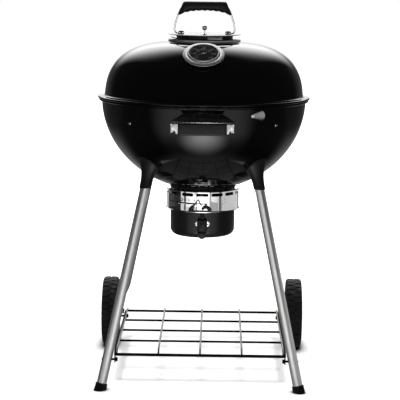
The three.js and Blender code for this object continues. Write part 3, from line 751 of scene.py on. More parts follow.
@dataclass(frozen=True)
class Finish:
    """One finish: its colours, its gloss and its fine surface."""

    name: str
    slot: Slot
    colour: tuple[float, float, float]
    worn: tuple[float, float, float]
    roughness: float
    texture: Texture
    relief_scale: float
    relief: float
    metallic: float = 0.0
    amount: float = 0.4
    scale: float = 9.0
    spread: float = 0.12
    dust: float = 0.05
    coat: float = 0.0
    coat_roughness: float = 0.05
    anisotropy: float = 0.0
    specular: float = 0.5
    depth: float = 0.0002

    def material(self) -> bpy.types.Material:
        """The Blender material, made at its first use.

        Returns:
            The material.
        """
        if self.name in bpy.data.materials:
            return bpy.data.materials[self.name]
        made = bpy.data.materials.new(self.name)
        made.use_nodes = True
        made.diffuse_color = (*self.colour, 1)
        made.node_tree.nodes.clear()
        wiring = Wiring(made.node_tree)
        place = wiring.node("ShaderNodeTexCoord").outputs["Object"]
        lines = place
        if self.texture is Texture.BRUSH:
            lines = wiring.node("ShaderNodeAttribute", attribute_name="flow").outputs["Vector"]
        relief = wiring.node("ShaderNodeGroup", node_tree=Effects.relief(self.texture))
        self.fill(wiring, relief, {"Place": lines, "Scale": self.relief_scale})
        use = wiring.node("ShaderNodeGroup", node_tree=Effects.handling())
        self.fill(wiring, use, {
            "Place": place, "Colour": (*self.colour, 1), "Worn": (*self.worn, 1), "Amount": self.amount,
            "Scale": self.scale, "Roughness": self.roughness, "Spread": self.spread})
        veil = wiring.node("ShaderNodeGroup", node_tree=Effects.dust())
        self.fill(wiring, veil, {"Place": place, "Colour": use.outputs["Colour"],
                                 "Roughness": use.outputs["Roughness"], "Amount": self.dust})
        bump = wiring.node("ShaderNodeBump", {"Strength": self.relief, "Distance": self.depth,
                                              "Height": relief.outputs["Height"]})
        rough = veil.outputs["Roughness"]
        if self.texture is Texture.BRUSH:
            rough = wiring.sum("ADD", rough, wiring.sum("MULTIPLY", relief.outputs["Shade"], 0.1))
        shader = wiring.node("ShaderNodeBsdfPrincipled", {
            "Base Color": veil.outputs["Colour"], "Roughness": rough, "Metallic": self.metallic,
            "Normal": bump.outputs[0], "Coat Weight": self.coat, "Coat Roughness": self.coat_roughness,
            "Anisotropic": self.anisotropy, "Specular IOR Level": self.specular})
        wiring.node("ShaderNodeOutputMaterial", {"Surface": shader.outputs[0]})
        return made

    @staticmethod
    def fill(wiring: Wiring, target: bpy.types.Node, feeds: dict[str, object]) -> None:
        """Sets or links a node's inputs by name.

        Args:
            wiring: the tree's wiring.
            target: the node.
            feeds: input name to a value or a socket.
        """
        for key, value in feeds.items():
            if isinstance(value, Socket):
                wiring.tree.links.new(value, target.inputs[key])
            else:
                target.inputs[key].default_value = value


@dataclass(frozen=True)
class ClearGlass:
    """The window of the thermometer."""

    name: str = "dial_window_glass"
    slot: Slot = Slot.GLASS

    def material(self) -> bpy.types.Material:
        """Clear where it faces the eye, bright where it is seen along its face.

        Returns:
            The material.
        """
        if self.name in bpy.data.materials:
            return bpy.data.materials[self.name]
        made = bpy.data.materials.new(self.name)
        made.use_nodes = True
        made.node_tree.nodes.clear()
        wiring = Wiring(made.node_tree)
        place = wiring.node("ShaderNodeTexCoord").outputs["Object"]
        haze = wiring.node("ShaderNodeTexNoise",
                           {"Vector": place, "Scale": 55.0, "Detail": 3.0}).outputs[0]
        edge = wiring.node("ShaderNodeFresnel", {"IOR": 1.5}).outputs[0]
        shader = wiring.node("ShaderNodeBsdfPrincipled", {
            "Base Color": (0.02, 0.02, 0.021, 1), "Roughness": wiring.ramp(haze, 0.3, 0.8, 0.02, 0.07),
            "Alpha": wiring.ramp(edge, 0.05, 0.6, 0.04, 0.7)})
        wiring.node("ShaderNodeOutputMaterial", {"Surface": shader.outputs[0]})
        return made


ENAMEL = Finish("gloss_black_enamel", Slot.ENAMEL, (0.0016, 0.0017, 0.0019), (0.003, 0.003, 0.0033),
                0.075, Texture.PEEL, 38.0, 0.05, amount=0.3, scale=5.0, spread=0.03, dust=0.004, coat=0.0,
                specular=0.5)
NECK_ENAMEL = Finish("dull_black_enamel", Slot.ENAMEL, (0.006, 0.006, 0.007), (0.02, 0.019, 0.018), 0.35,
                     Texture.PEEL, 60.0, 0.1, dust=0.01)
SATIN = Finish("satin_black_paint", Slot.SATIN, (0.010, 0.0105, 0.011), (0.022, 0.022, 0.022), 0.3,
               Texture.GRAIN, 900.0, 0.12, amount=0.35, spread=0.1, dust=0.03, coat=0.15,
               coat_roughness=0.12)
BRIGHT = Finish("bright_plated_steel", Slot.BRIGHT, (0.83, 0.83, 0.835), (0.70, 0.70, 0.70), 0.05,
                Texture.PEEL, 45.0, 0.03, metallic=1.0, amount=0.3, spread=0.05, dust=0.02)
BRUSHED = Finish("brushed_steel", Slot.BRUSHED, (0.60, 0.59, 0.575), (0.47, 0.46, 0.45), 0.26,
                 Texture.BRUSH, 1.6, 0.12, metallic=1.0, amount=0.35, scale=14.0, spread=0.1, dust=0.03,
                 depth=0.00008)
WIRE = Finish("plated_grate_wire", Slot.WIRE, (0.55, 0.545, 0.535), (0.34, 0.32, 0.30), 0.3,
              Texture.PEEL, 160.0, 0.12, metallic=1.0, amount=0.6, scale=16.0, spread=0.2, dust=0.05)
SHIELD = Finish("satin_aluminium", Slot.SHIELD, (0.2, 0.2, 0.198), (0.17, 0.17, 0.168), 0.3,
                Texture.BRUSH, 1.1, 0.12, metallic=1.0, amount=0.3, spread=0.1, dust=0.04, depth=0.00008)
NYLON = Finish("moulded_black_nylon", Slot.NYLON, (0.008, 0.008, 0.0084), (0.016, 0.016, 0.0165), 0.42,
               Texture.GRAIN, 750.0, 0.3, amount=0.4, spread=0.14, dust=0.03, specular=0.32)
TYRE = Finish("tyre_rubber", Slot.TYRE, (0.017, 0.017, 0.0175), (0.034, 0.033, 0.032), 0.66,
              Texture.GRAIN, 420.0, 0.35, amount=0.6, scale=22.0, spread=0.18, dust=0.12)
DIAL = Finish("dial_print_black", Slot.DIAL, (0.026, 0.026, 0.028), (0.046, 0.046, 0.048), 0.5,
              Texture.GRAIN, 1200.0, 0.08, dust=0.0)
MARKS = Finish("dial_print_pale", Slot.DIAL, (0.85, 0.85, 0.84), (0.72, 0.72, 0.71), 0.5,
               Texture.GRAIN, 1200.0, 0.05, dust=0.0)
SCALE_INK = Finish("etched_scale_black", Slot.SATIN, (0.02, 0.02, 0.021), (0.05, 0.05, 0.05), 0.45,
                   Texture.GRAIN, 1500.0, 0.1, dust=0.0)
SHELF_WIRE = Finish("galvanised_shelf_wire", Slot.WIRE, (0.21, 0.21, 0.21), (0.16, 0.16, 0.155), 0.5,
                    Texture.PEEL, 160.0, 0.12, metallic=1.0, amount=0.5, scale=16.0, spread=0.15,
                    dust=0.03)
BRUSHED_PLATE = Finish("satin_plate_steel", Slot.BRIGHT, (0.38, 0.38, 0.38), (0.3, 0.3, 0.3), 0.26,
                       Texture.PEEL, 140.0, 0.1, metallic=1.0, amount=0.4, scale=30.0, spread=0.12,
                       dust=0.02)
BEZEL = Finish("brushed_bezel_steel", Slot.BRUSHED, (0.44, 0.44, 0.437), (0.37, 0.37, 0.37), 0.38,
               Texture.BRUSH, 1.4, 0.1, metallic=1.0, amount=0.3, scale=20.0, spread=0.08, dust=0.02,
               depth=0.00006)
GUARD = Finish("glossy_black_guard", Slot.SATIN, (0.002, 0.002, 0.0022), (0.004, 0.004, 0.004), 0.2,
               Texture.GRAIN, 800.0, 0.04, amount=0.3, spread=0.05, dust=0.004, specular=0.5)
VENT_PLATE = Finish("rolled_plate_steel", Slot.SHIELD, (0.6, 0.6, 0.595), (0.5, 0.5, 0.495), 0.5,
                    Texture.BRUSH, 1.1, 0.12, metallic=1.0, amount=0.3, spread=0.1, dust=0.04,
                    depth=0.00008)
ROD_PAINT = Finish("black_rod_paint", Slot.SATIN, (0.005, 0.005, 0.0055), (0.012, 0.012, 0.012), 0.85,
                   Texture.GRAIN, 600.0, 0.2, amount=0.4, spread=0.1, dust=0.01, specular=0.1)
GLASS = ClearGlass()


# ---- sub-assemblies -------------------------------------------------------------------------
@dataclass
class Assembly:
    """Common work of every sub-assembly: making, dressing and hanging its pieces."""

    made: list[bpy.types.Object] = field(default_factory=list)

    def piece(self, name: str, shape: Solid, finish: Finish | ClearGlass, body: str,
              stands_for: Iterable[str] = (), smooth: float = 32.0) -> bpy.types.Object:
        """Makes one finished piece.

        Args:
            name: the piece's name.
            shape: its solid, in millimetres.
            finish: its finish.
            body: the body that it moves with.
            stands_for: nodes of the frame that it replaces.
            smooth: edges sharper than this many degrees stay crisp.

        Returns:
            The object.
        """
        mesh = shape.mesh(name, MM)
        mesh.polygons.foreach_set("use_smooth", [True] * len(mesh.polygons))
        mesh.set_sharp_from_angle(angle=math.radians(smooth))
        if shape.flow is not None:
            layer = mesh.attributes.new("flow", "FLOAT_VECTOR", "POINT")
            for vertex, entry in zip(mesh.vertices, layer.data):
                entry.vector = shape.flow(vertex.co / MM)
        mesh.materials.append(finish.material())
        made = bpy.data.objects.new(name, mesh)
        bpy.context.scene.collection.objects.link(made)
        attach(made, body)
        nodes = list(stands_for)
        if nodes:
            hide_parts(*nodes)
        made["metal"] = isinstance(finish, Finish) and finish.metallic > 0.5
        self.made.append(made)
        LOG.info("%s: %d faces on %s", name, len(mesh.polygons), body)
        return made

    @staticmethod
    def dress(node: str, finish: Finish) -> None:
        """Gives a node of the frame its finish.

        Args:
            node: the node's name.
            finish: its finish.
        """
        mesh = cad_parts[node].data
        mesh.materials.clear()
        mesh.materials.append(finish.material())
        LOG.info("%s: kept from the frame", node)

    def build(self) -> None:
        """Makes every piece."""
        raise NotImplementedError


@dataclass
class Bowl(Assembly):
    """Enamelled bowl with its vents, grate clips and probe port."""

    radius: float = 280
    depth: float = 252
    rim: float = 758
    sheet: float = 2
    lip: float = 288
    vent: tuple[float, float, float] = (26, 74, 44)
    clip_z: float = 705
    probe_pivot: Vector = field(default_factory=lambda: Vector((129.672, -250.163, 733.5)))
    probe_turn: float = 29.6
    probe_hole: tuple[float, float] = (32.0, 9.0)

    def arc(self, inset: float, steps: int = 44) -> list[Flat]:
        """The wall's profile from the bottom centre to the rim, moved inwards."""
        turns = [math.pi / 2 * i / steps for i in range(steps + 1)]
        return [((self.radius - inset) * math.sin(t), self.rim - (self.depth - inset) * math.cos(t))
                for t in turns]

    def outside(self, gap: float = -1.0) -> Rule:
        """Rule that pushes points inside the bowl out to its wall.

        Args:
            gap: how far outside the wall the points end; negative is inside.

        Returns:
            The rule.
        """
        def push(v: Vector) -> Vector:
            """Puts one point on the wall when it is inside."""
            rel = Vector((v.x, v.y, (v.z - self.rim) * self.radius / self.depth))
            reach = self.radius + gap
            if rel.length >= reach or v.z > self.rim:
                return v
            rel = rel.normalized() * reach
            return Vector((rel.x, rel.y, self.rim + rel.z * self.depth / self.radius))
        return push

    def shell(self) -> Solid:
        """The wall with its rolled lip, its three ash vents and its small holes.

        Returns:
            The carved wall.
        """
        top = self.rim - 0.5
        outer = self.arc(0)[:-1]
        inner = self.arc(self.sheet)[:-1]
        lip = [(280.4, self.rim - 7.5), (281.6, self.rim - 6.3)]
        lip += arc((self.lip - 2.8, top - 2.9), 2.8, -90, 90, 7)
        lip += [(self.radius - self.sheet + 1.5, top), (self.radius - self.sheet, top - 1.6)]
        wall = lathe(outer + lip + list(reversed(inner)), 180)
        inside, outside, span = self.vent
        half = span / 2
        edge = arc((0, 0), outside, -90 - half, -90 + half,
                   12) + arc((0, 0), inside, -90 + half, -90 - half, 6)
        bottom = self.rim - self.depth
        tool = repeated(plate(edge, bottom - 6, bottom + 26, 0.2), 3)
        tool.join(rod(Vector((0, 0, bottom - 6)), Vector((0, 0, bottom + 9)), 6.2, 24))
        azimuth, hole = self.probe_hole
        tool.join(rod(around(azimuth, 262, 733.5), around(azimuth, 290, 733.5), hole, 28))
        return carved(wall, tool)

    def probe_frame(self) -> Matrix:
        """Where the probe cover lies: X along the wall, Z out of it."""
        turn = Matrix.Rotation(math.radians(self.probe_turn), 4,
                               "Z") @ Matrix.Rotation(math.pi / 2, 4, "X")
        return Matrix.Translation(self.probe_pivot) @ turn

    def build(self) -> None:
        """Makes the bowl and what is fixed to its wall."""
        self.piece("bowl_wall", self.shell(), ENAMEL, "base", ["bowl_shell"], smooth=40)
        for place in ("front_right", "rear_right", "rear_left", "front_left"):
            self.dress(f"grate_clip_{place}", BRIGHT)
        for azimuth in (45, 135, 225, 315):
            at = around(azimuth, 272, self.clip_z)
            out = around(azimuth, 1, 0)
            turn = out.to_track_quat("Z", "Y").to_matrix().to_4x4()
            dome = [(0, 3.15)] + arc((0, -4.5), 7.6, 65, 32, 5) + [(6.0, -2.5), (0, -2.5)]
            self.piece(f"clip_screw_{azimuth}", lathe(dome, 20).moved(Matrix.Translation(at) @ turn),
                       BRIGHT, "base")
        tangent = math.degrees(math.acos((14 - 6) / 22))
        drop = arc((22, 0), 14, -tangent, tangent, 22) + arc((0, 0), 6, tangent, 360 - tangent, 12)
        cover = carved(plate(drop, 0, 1.6, 0.35), rod(Vector((0, 0, -2)), Vector((0, 0, 4)), 2.5, 16))
        self.piece("probe_port_cover", cover.moved(self.probe_frame()), BRUSHED_PLATE, "probe_flap",
                   ["probe_cover"])
        head = [(0, -2.4), (1.9, -2.4), (1.9, 2.0), (4.2, 2.0), (4.2, 2.8), (3.4, 3.7), (0, 4.1)]
        self.piece("probe_port_screw", lathe(head, 24).moved(self.probe_frame()), BRIGHT, "base",
                   ["probe_screw"])


@dataclass
class BowlHandle(Assembly):
    """Moulded handle on the bowl with its sloping hood and steel brackets."""

    front: float = -344.3
    half_width: float = 62
    low: float = 690
    high: float = 720
    thickness: float = 22
    hood_half_front: float = 81
    hood_half_back: float = 42
    hood_back: tuple[float, float] = (-286, 739)

    def grip(self) -> Solid:
        """Bar with a slightly crowned front and rounded long edges.

        Returns:
            The bar.
        """
        rings = []
        count = 25
        for k in range(count):
            part = 2 * k / (count - 1) - 1
            x = self.half_width * part
            end = 1.2 if k in (0, count - 1) else 0.0
            crown = 1.0 - 0.9 * (1 - part * part)
            section = rounded([(self.front + crown + end, self.low + end, 4.5),
                               (self.front + crown + end, self.high - end, 2.5),
                               (self.front + self.thickness - end, self.high - end, 3),
                               (self.front + self.thickness - end, self.low + end, 7)], 5)
            rings.append([Vector((x, y, z)) for y, z in section])
        return loft(rings)

    def hood(self, bowl: Bowl) -> Solid:
        """Sloping heat guard from the handle up to the wall, its edges eased.

        Args:
            bowl: the bowl it stands against.

        Returns:
            The guard.
        """
        back_y, back_z = self.hood_back
        front = self.front
        outline = rounded([(-self.hood_half_front, front + 1, 3), (self.hood_half_front, front + 1, 3),
                           (self.hood_half_front - 6, front + 23, 6), (self.hood_half_back, back_y, 0),
                           (-self.hood_half_back, back_y, 0), (-self.hood_half_front + 6, front + 23, 6)],
                          5)
        rise = back_z - self.high - 3.4
        sheet = plate(outline, self.high + 0.4, self.high + 3.4, 1.4)
        push = bowl.outside(-1.0)

        def slope(v: Vector) -> Vector:
            """Raises one point along the slope and keeps it clear of the bowl."""
            part = (v.y - front) / (back_y - front)
            return push(Vector((v.x, v.y, v.z + rise * part)))
        return sheet.bent(slope)

    def bracket(self, side: int, bowl: Bowl) -> Solid:
        """Bent steel strip at one end: notched face, arm and foot.

        Args:
            side: which side in X, 1 or -1.
            bowl: the bowl it stands against.

        Returns:
            The strip.
        """
        inner, outer = self.half_width + 0.4, self.half_width + 18.4
        low, high = self.high - 25, self.high - 0.4
        face = rounded([(side * inner, high, 0), (side * inner, low - 0.5, 1),
                        (side * (inner + 5), low - 0.5, 1.5), (side * (inner + 8), low + 9, 1),
                        (side * (inner + 11), low + 4, 1), (side * outer, low + 3, 2),
                        (side * outer, high - 5, 3), (side * (outer - 4), high, 2)], 3)
        plate_front = facing(face, self.front + 3.2, 2.6, 0.5)
        push = bowl.outside(-1.0)
        steps = 12
        bars = []
        for k in range(steps + 1):
            y = self.front + 1 + (-240 - self.front - 1) * k / steps
            x0, x1 = side * (outer - 2.6), side * outer
            bars.append([push(Vector(p)) for p in ((x0, y, low + 3), (x1, y, low + 3), (x1, y, high),
                                                   (x0, y, high))])
        return plate_front.join(loft(bars))

    def build_for(self, bowl: Bowl) -> None:
        """Makes the handle's pieces against the given bowl.

        Args:
            bowl: the bowl it stands against.
        """
        self.piece("bowl_handle_bar", self.grip(), NYLON, "base", ["bowl_handle_grip"])
        self.piece("bowl_handle_guard", self.hood(bowl), GUARD, "base", ["bowl_handle_hood"], smooth=75)
        for place, side in (("right", 1), ("left", -1)):
            name = f"bowl_handle_bracket_{place}"
            self.piece(f"{name}_plate", self.bracket(side, bowl), BRUSHED_PLATE, "base", [name])


@dataclass
class Grates(Assembly):
    """Cooking grate and charcoal grate."""

    cooking: tuple[float, float, float, int] = (712, 270, 2.2, 25)
    charcoal: tuple[float, float, float, int] = (604, 210, 3.0, 11)

    @staticmethod
    def grate(sizes: tuple[float, float, float, int], crossing: Sequence[float]) -> Solid:
        """A rim ring, parallel bars and the cross bars below them.

        Args:
            sizes: the sizes of one grate.
            crossing: where the cross bars lie.

        Returns:
            The grate.
        """
        z, reach, radius, count = sizes
        ring = lathe([(reach - radius + x, z + y) for x, y in arc((0, 0), radius, 0, 324, 9)], 120)
        unit = rod(Vector((0, -1, 0)), Vector((0, 1, 0)), radius, 10, 0.0)
        bars = Grating().run(unit, Count=count, Reach=reach - radius)
        bars = bars.moved(Matrix.Translation((0, 0, z)))
        below = z - radius * 1.9
        half = [math.sqrt((reach - radius) ** 2 - y * y) for y in crossing]
        runs = [[Vector((-x, y, below)), Vector((x, y, below))] for x, y in zip(half, crossing)]
        return ring.join(bars, wires(runs, radius))

    def build(self) -> None:
        """Makes both grates."""
        self.piece("cooking_grate_wires", self.grate(self.cooking, (-110, 110)), WIRE, "cooking_grid",
                   ["cooking_grate"])
        self.piece("charcoal_grate_wires", self.grate(self.charcoal, (-90, 90)), WIRE, "charcoal_grid",
                   ["charcoal_grate"])


@dataclass
class AshSide(Assembly):
    """Air band, its lever, the ash pot and its handle."""

    band_radius: float = 100
    band_top: float = 511
    band_bottom: float = 454
    slot_z: float = 502
    slot: tuple[float, float] = (34, 8.8)
    slots: int = 15
    pot_radius: float = 89
    pot: tuple[float, float] = (380, 460)

    def band(self) -> Solid:
        """Bright ring with a flared lower lip, a row of slots and the lever's track.

        Returns:
            The carved ring.
        """
        radius, top, bottom = self.band_radius, self.band_top, self.band_bottom
        inner = radius - 1.5
        profile = [(inner, bottom + 4), (inner + 0.2, bottom + 2), (radius + 0.6, bottom),
                   (radius + 2.2, bottom + 0.2), (radius + 2.4, bottom + 1.3),
                   (radius + 0.8, bottom + 2.6), (radius, bottom + 5), (radius, top - 2.4)]
        profile += arc((radius - 2.4, top - 2.4), 2.4, 0, 90, 5)[1:]
        profile += [(80, top), (80, top - 1.5), (inner - 1, top - 1.5), (inner, top - 2.5)]
        wide, tall = self.slot
        half, lift = wide / 2, tall / 2
        outline = rounded([(-half, -lift, lift), (half, -lift, lift), (half, lift, lift),
                           (-half, lift, lift)], 6)
        hole = facing(outline, 4, 8, 0.05).moved(Matrix.Translation((0, 0, self.slot_z)))
        tool = repeated(hole.bent(wrapped(radius)), self.slots)
        slit = rounded([(-13, 88.5, 1), (13, 88.5, 1), (13, 91.5, 1), (-13, 91.5, 1)], 3)
        slits = plate([(x, -y) for x, y in slit], top - 4, top + 3, 0.05)
        between = Matrix.Rotation(math.radians(180 / self.slots), 4, "Z")
        tool.join(repeated(slits, self.slots).moved(between))
        points = [(a * radius * math.pi / 180, z)
                  for a, z in ((-62, 476), (-40, 476), (-15, 476), (8, 476))]
        track = list(points) + [(x, z + 4.0) for x, z in reversed(points)]
        dense = []
        for (x0, z0), (x1, z1) in zip(track, track[1:] + track[:1]):
            count = max(1, round(abs(x1 - x0) / 6))
            dense += [(x0 + (x1 - x0) * i / count, z0 + (z1 - z0) * i / count) for i in range(count)]
        tool.join(facing(dense, 4, 8, 0.05).bent(wrapped(radius)))
        return carved(lathe(profile, 150), tool)

    def scale(self) -> Solid:
        """Etched marks above the lever's track: chevrons that grow, and two setting marks.

        Returns:
            The marks, a little proud of the ring.
        """
        radius = self.band_radius
        marks = Solid()
        for x, size in ((-58, 4.2), (-48, 3.8), (-37, 3.2), (-21, 2.6), (-2, 2.2)):
            chevron = [(x - size, 487 + size), (x, 487), (x - size, 487 - size),
                       (x - size * 0.35, 487 - size), (x + size * 0.8, 487),
                       (x - size * 0.35, 487 + size)]
            marks.join(facing(chevron, 0.06, 0.16, 0.03).bent(wrapped(radius)))
        for x, z, tilt in ((62, 486, 3.0), (63, 478, 3.0)):
            stroke = [(x - 6, z - tilt), (x + 5, z + tilt - 1), (x + 5, z + tilt + 0.6),
                      (x - 6, z - tilt + 1.6)]
            marks.join(facing(stroke, 0.06, 0.16, 0.03).bent(wrapped(radius)))
        return marks

    def lever(self) -> Solid:
        """Black control lever: a pointer on two thin arms above two curved ears.

        Returns:
            The lever.
        """
        y, depth = -103.4, 5.0
        left = [(-27, 458), (-25.5, 466), (-20, 473), (-12, 477), (-13.5, 470), (-16, 463), (-17, 458)]
        right = arc((22.5, 459), 15.5, 10, 150, 12) + arc((21.5, 457), 9.5, 140, 15, 9)
        arm_left = [(-15, 474), (-11.5, 472.5), (1.2, 489.6), (-1.5, 490.4)]
        arm_right = [(-0.6, 490), (8.6, 471), (10.6, 472), (1.2, 490)]
        bar = [(-24, 458), (34, 458), (34, 461), (-24, 461)]
        shapes = [facing(outline, y, depth, 0.35) for outline in (left, right, arm_left, arm_right, bar)]
        return Solid().join(*shapes).moved(Matrix.Rotation(math.radians(-6), 4, "Z"))

    def pot_shell(self) -> Solid:
        """Drawn pot with a rolled rim.

        Returns:
            The pot.
        """
        bottom, top = self.pot
        radius = self.pot_radius
        corner = (radius - 18, bottom + 18)
        outer = [(0, bottom + 1.5), (40, bottom + 1.5), (55, bottom)] + arc(corner, 18, -90, 0, 9)
        roll = arc((radius + 0.2, top - 2.4), 1.8, -60, 90, 6)
        rim = [(radius, top - 5.4), (radius + 0.8, top - 4.8)] + roll
        inner = [(radius - 1.5, top - 0.6)] + arc(corner, 16.5, 0, -90, 8)
        inner += [(55, bottom + 1.5), (0, bottom + 3)]
        return lathe(outer + rim + inner, 128)

    def pot_handle(self) -> list[Solid]:
        """Moulded handle: stem, waisted body and rounded tip, split by a groove.

        Returns:
            The parts of the handle.
        """
        front = -self.pot_radius - 2.8
        stem = rounded([(-6.5, 452, 2), (-6.5, 432, 1), (6.5, 432, 1), (6.5, 452, 2)], 3)
        body = rounded([(-14, 436, 3), (-14, 404, 3), (-11, 402.6, 1), (11, 402.6, 1), (14, 404, 3),
                        (14, 436, 3)], 4)
        tip = [(-12, 401.4)] + arc((0, 393.5), 12, 180, 360, 14) + [(12, 401.4)]
        return [facing(stem, front, 11, 1.4), facing(body, front, 18, 2.6), facing(tip, front, 14, 2.2)]

    def build(self) -> None:
        """Makes the band, lever, pot and handle."""
        neck = [(85.5, 511.4), (88, 511.4), (88, 541), (85.5, 541)]
        push = Bowl().outside(-0.8)
        self.piece("neck_collar", lathe(neck, 120).bent(push), NECK_ENAMEL, "base", ["band_collar"])
        self.piece("vent_band", self.band(), BRIGHT, "base", ["air_band"], smooth=30)
        self.piece("vent_band_scale", self.scale(), SCALE_INK, "base")
        self.dress("vent_vanes", WIRE)
        self.piece("vent_control_lever", self.lever(), NYLON, "vent_control", ["control_lever"])
        screw = lathe([(0, 0), (2.2, 0), (2.2, 0.8), (1.4, 1.6), (0, 1.8)], 16)
        turn = Matrix.Rotation(math.radians(-6), 4, "Z") @ Matrix.Translation((12.5, -104.2, 463.5))
        self.piece("vent_lever_screw", screw.moved(turn @ Matrix.Rotation(math.pi / 2, 4, "X")),
                   SCALE_INK, "vent_control")
        self.piece("ash_pot_shell", self.pot_shell(), SATIN, "ash_container", ["ash_pot"])
        parts = Solid().join(*self.pot_handle())
        self.piece("ash_pot_grip", parts, NYLON, "ash_container", ["ash_pot_handle"])
        oval = [(1 + 20 * math.cos(a), 421.5 + 10 * math.sin(a))
                for a in (2 * math.pi * i / 40 for i in range(40))]
        self.piece("ash_pot_latch", facing(oval, -self.pot_radius - 0.4, 2, 0.5), BRIGHT, "ash_container",
                   ["ash_pot_latch_plate"])


@dataclass
class Legs(Assembly):
    """Sockets, tubes and feet."""

    radius: float = 13.3
    top: tuple[float, float] = (153, 530)
    foot: tuple[float, float] = (260, 19)
    insert: float = 30
    flat: tuple[float, float] = (190, 132)
    flat_half: tuple[float, float] = (3, 17)
    rear_bottom: float = 76
    socket: tuple[float, float, float, float, float] = (15.6, 66, 88, 0.22, 2.8)

    def slope(self) -> float:
        """How far a leg moves out for each millimetre down."""
        return (self.foot[0] - self.top[0]) / (self.top[1] - self.foot[1])

    def out(self, z: float) -> float:
        """Distance of a leg's centre line from the two middle planes at a height."""
        return self.top[0] + self.slope() * (self.top[1] - z)

    def own_frame(self, sx: int, sy: int) -> Rule:
        """Coordinates across and along one leg.

        Args:
            sx: which side in X, 1 or -1.
            sy: which side in Y, 1 or -1.

        Returns:
            The rule.
        """
        def place(v: Vector) -> Vector:
            """One point in the coordinates of the leg."""
            return Vector((v.x - sx * self.out(v.z), v.y - sy * self.out(v.z), v.z))
        return place

    def tube(self, sx: int, sy: int) -> Solid:
        """One leg; a rear leg is pressed flat towards its low end.

        Args:
            sx: which side in X, 1 or -1.
            sy: which side in Y, 1 or -1.

        Returns:
            The tube.
        """
        rear = sy > 0
        low = self.rear_bottom if rear else self.foot[1] - 6
        high = self.top[1] + self.insert
        levels = [low, low + 0.5] + [z for z in range(120, 200, 5) if rear] + [high - 0.5, high]
        rings = []
        for z in levels:
            part = min(1.0, max(0.0, (self.flat[0] - z) / (self.flat[0] - self.flat[1]))) if rear else 0.0
            press = part * part * (3 - 2 * part)
            ease = 0.4 if z in (low, high) else 0.0
            across = self.radius + press * (self.flat_half[0] - self.radius) - ease
            along = self.radius + press * (self.flat_half[1] - self.radius) - ease
            centre = Vector((sx * self.out(z), sy * self.out(z), z))
            rings.append(ring_of(40, Vector((across, 0, 0)), Vector((0, along, 0)), centre))
        return loft(rings).following(self.own_frame(sx, sy))

    def leg_socket(self, sx: int, sy: int) -> Solid:
        """Moulded socket that flares from the leg onto the bowl.

        Args:
            sx: which side in X, 1 or -1.
            sy: which side in Y, 1 or -1.

        Returns:
            The socket.
        """
        mouth, flare, length, lean, power = self.socket
        slope = self.slope()
        bottom = self.top[1] - 2
        profile = [(self.radius + 0.4, 1.2), (self.radius + 0.4, 0.0), (mouth - 0.8, 0.0), (mouth, 0.8)]
        profile += [(mouth + (flare - mouth) * (i / 20) ** power, max(0.9, length * i / 20))
                    for i in range(1, 21)]
        cone = lathe(profile + [(self.radius + 0.4, length)], 56)
        push = Bowl().outside(-1.0)

        def lay(v: Vector) -> Vector:
            """One point on the flare."""
            inward = slope * v.z + lean * length * (v.z / length) ** 3
            centre = self.out(bottom)
            return push(Vector((v.x + sx * (centre - inward), v.y + sy * (centre - inward),
                                v.z + bottom)))
        return cone.bent(lay)

    def cap(self, sx: int, sy: int) -> Solid:
        """Moulded foot with a band round its top, cut level with the floor.

        Args:
            sx: which side in X, 1 or -1.
            sy: which side in Y, 1 or -1.

        Returns:
            The foot.
        """
        low, high = -8.0, 18.0
        bore = self.radius + 0.3
        stations = [(low, bore), (low, 15.9), (2, 15.9), (5, 16.2), (8, 15.6), (high - 4, 15.2),
                    (high - 3.2, 15.7), (high - 0.8, 15.7), (high, 15.0), (high, bore), (high - 2, bore)]
        rings = []
        for z, radius in stations:
            centre = Vector((sx * self.out(z), sy * self.out(z), z))
            ring = ring_of(40, Vector((radius, 0, 0)), Vector((0, radius, 0)), centre)
            tilted = [v + Vector((0, 0, (v.x - centre.x) * sx + (v.y - centre.y) * sy)) * self.slope()
                      for v in ring]
            rings.append([Vector((v.x, v.y, max(0.0, v.z))) for v in tilted])
        return loft(rings)

    def build(self) -> None:
        """Makes the four legs."""
        for place, sx, sy in CORNERS:
            self.piece(f"socket_{place}", self.leg_socket(sx, sy), NYLON, "base", [f"leg_socket_{place}"])
            self.piece(f"leg_{place}", self.tube(sx, sy), BRUSHED, "base", [f"leg_tube_{place}"])
            if sy < 0:
                self.piece(f"foot_{place}", self.cap(sx, sy), NYLON, "base", [f"foot_cap_{place}"])


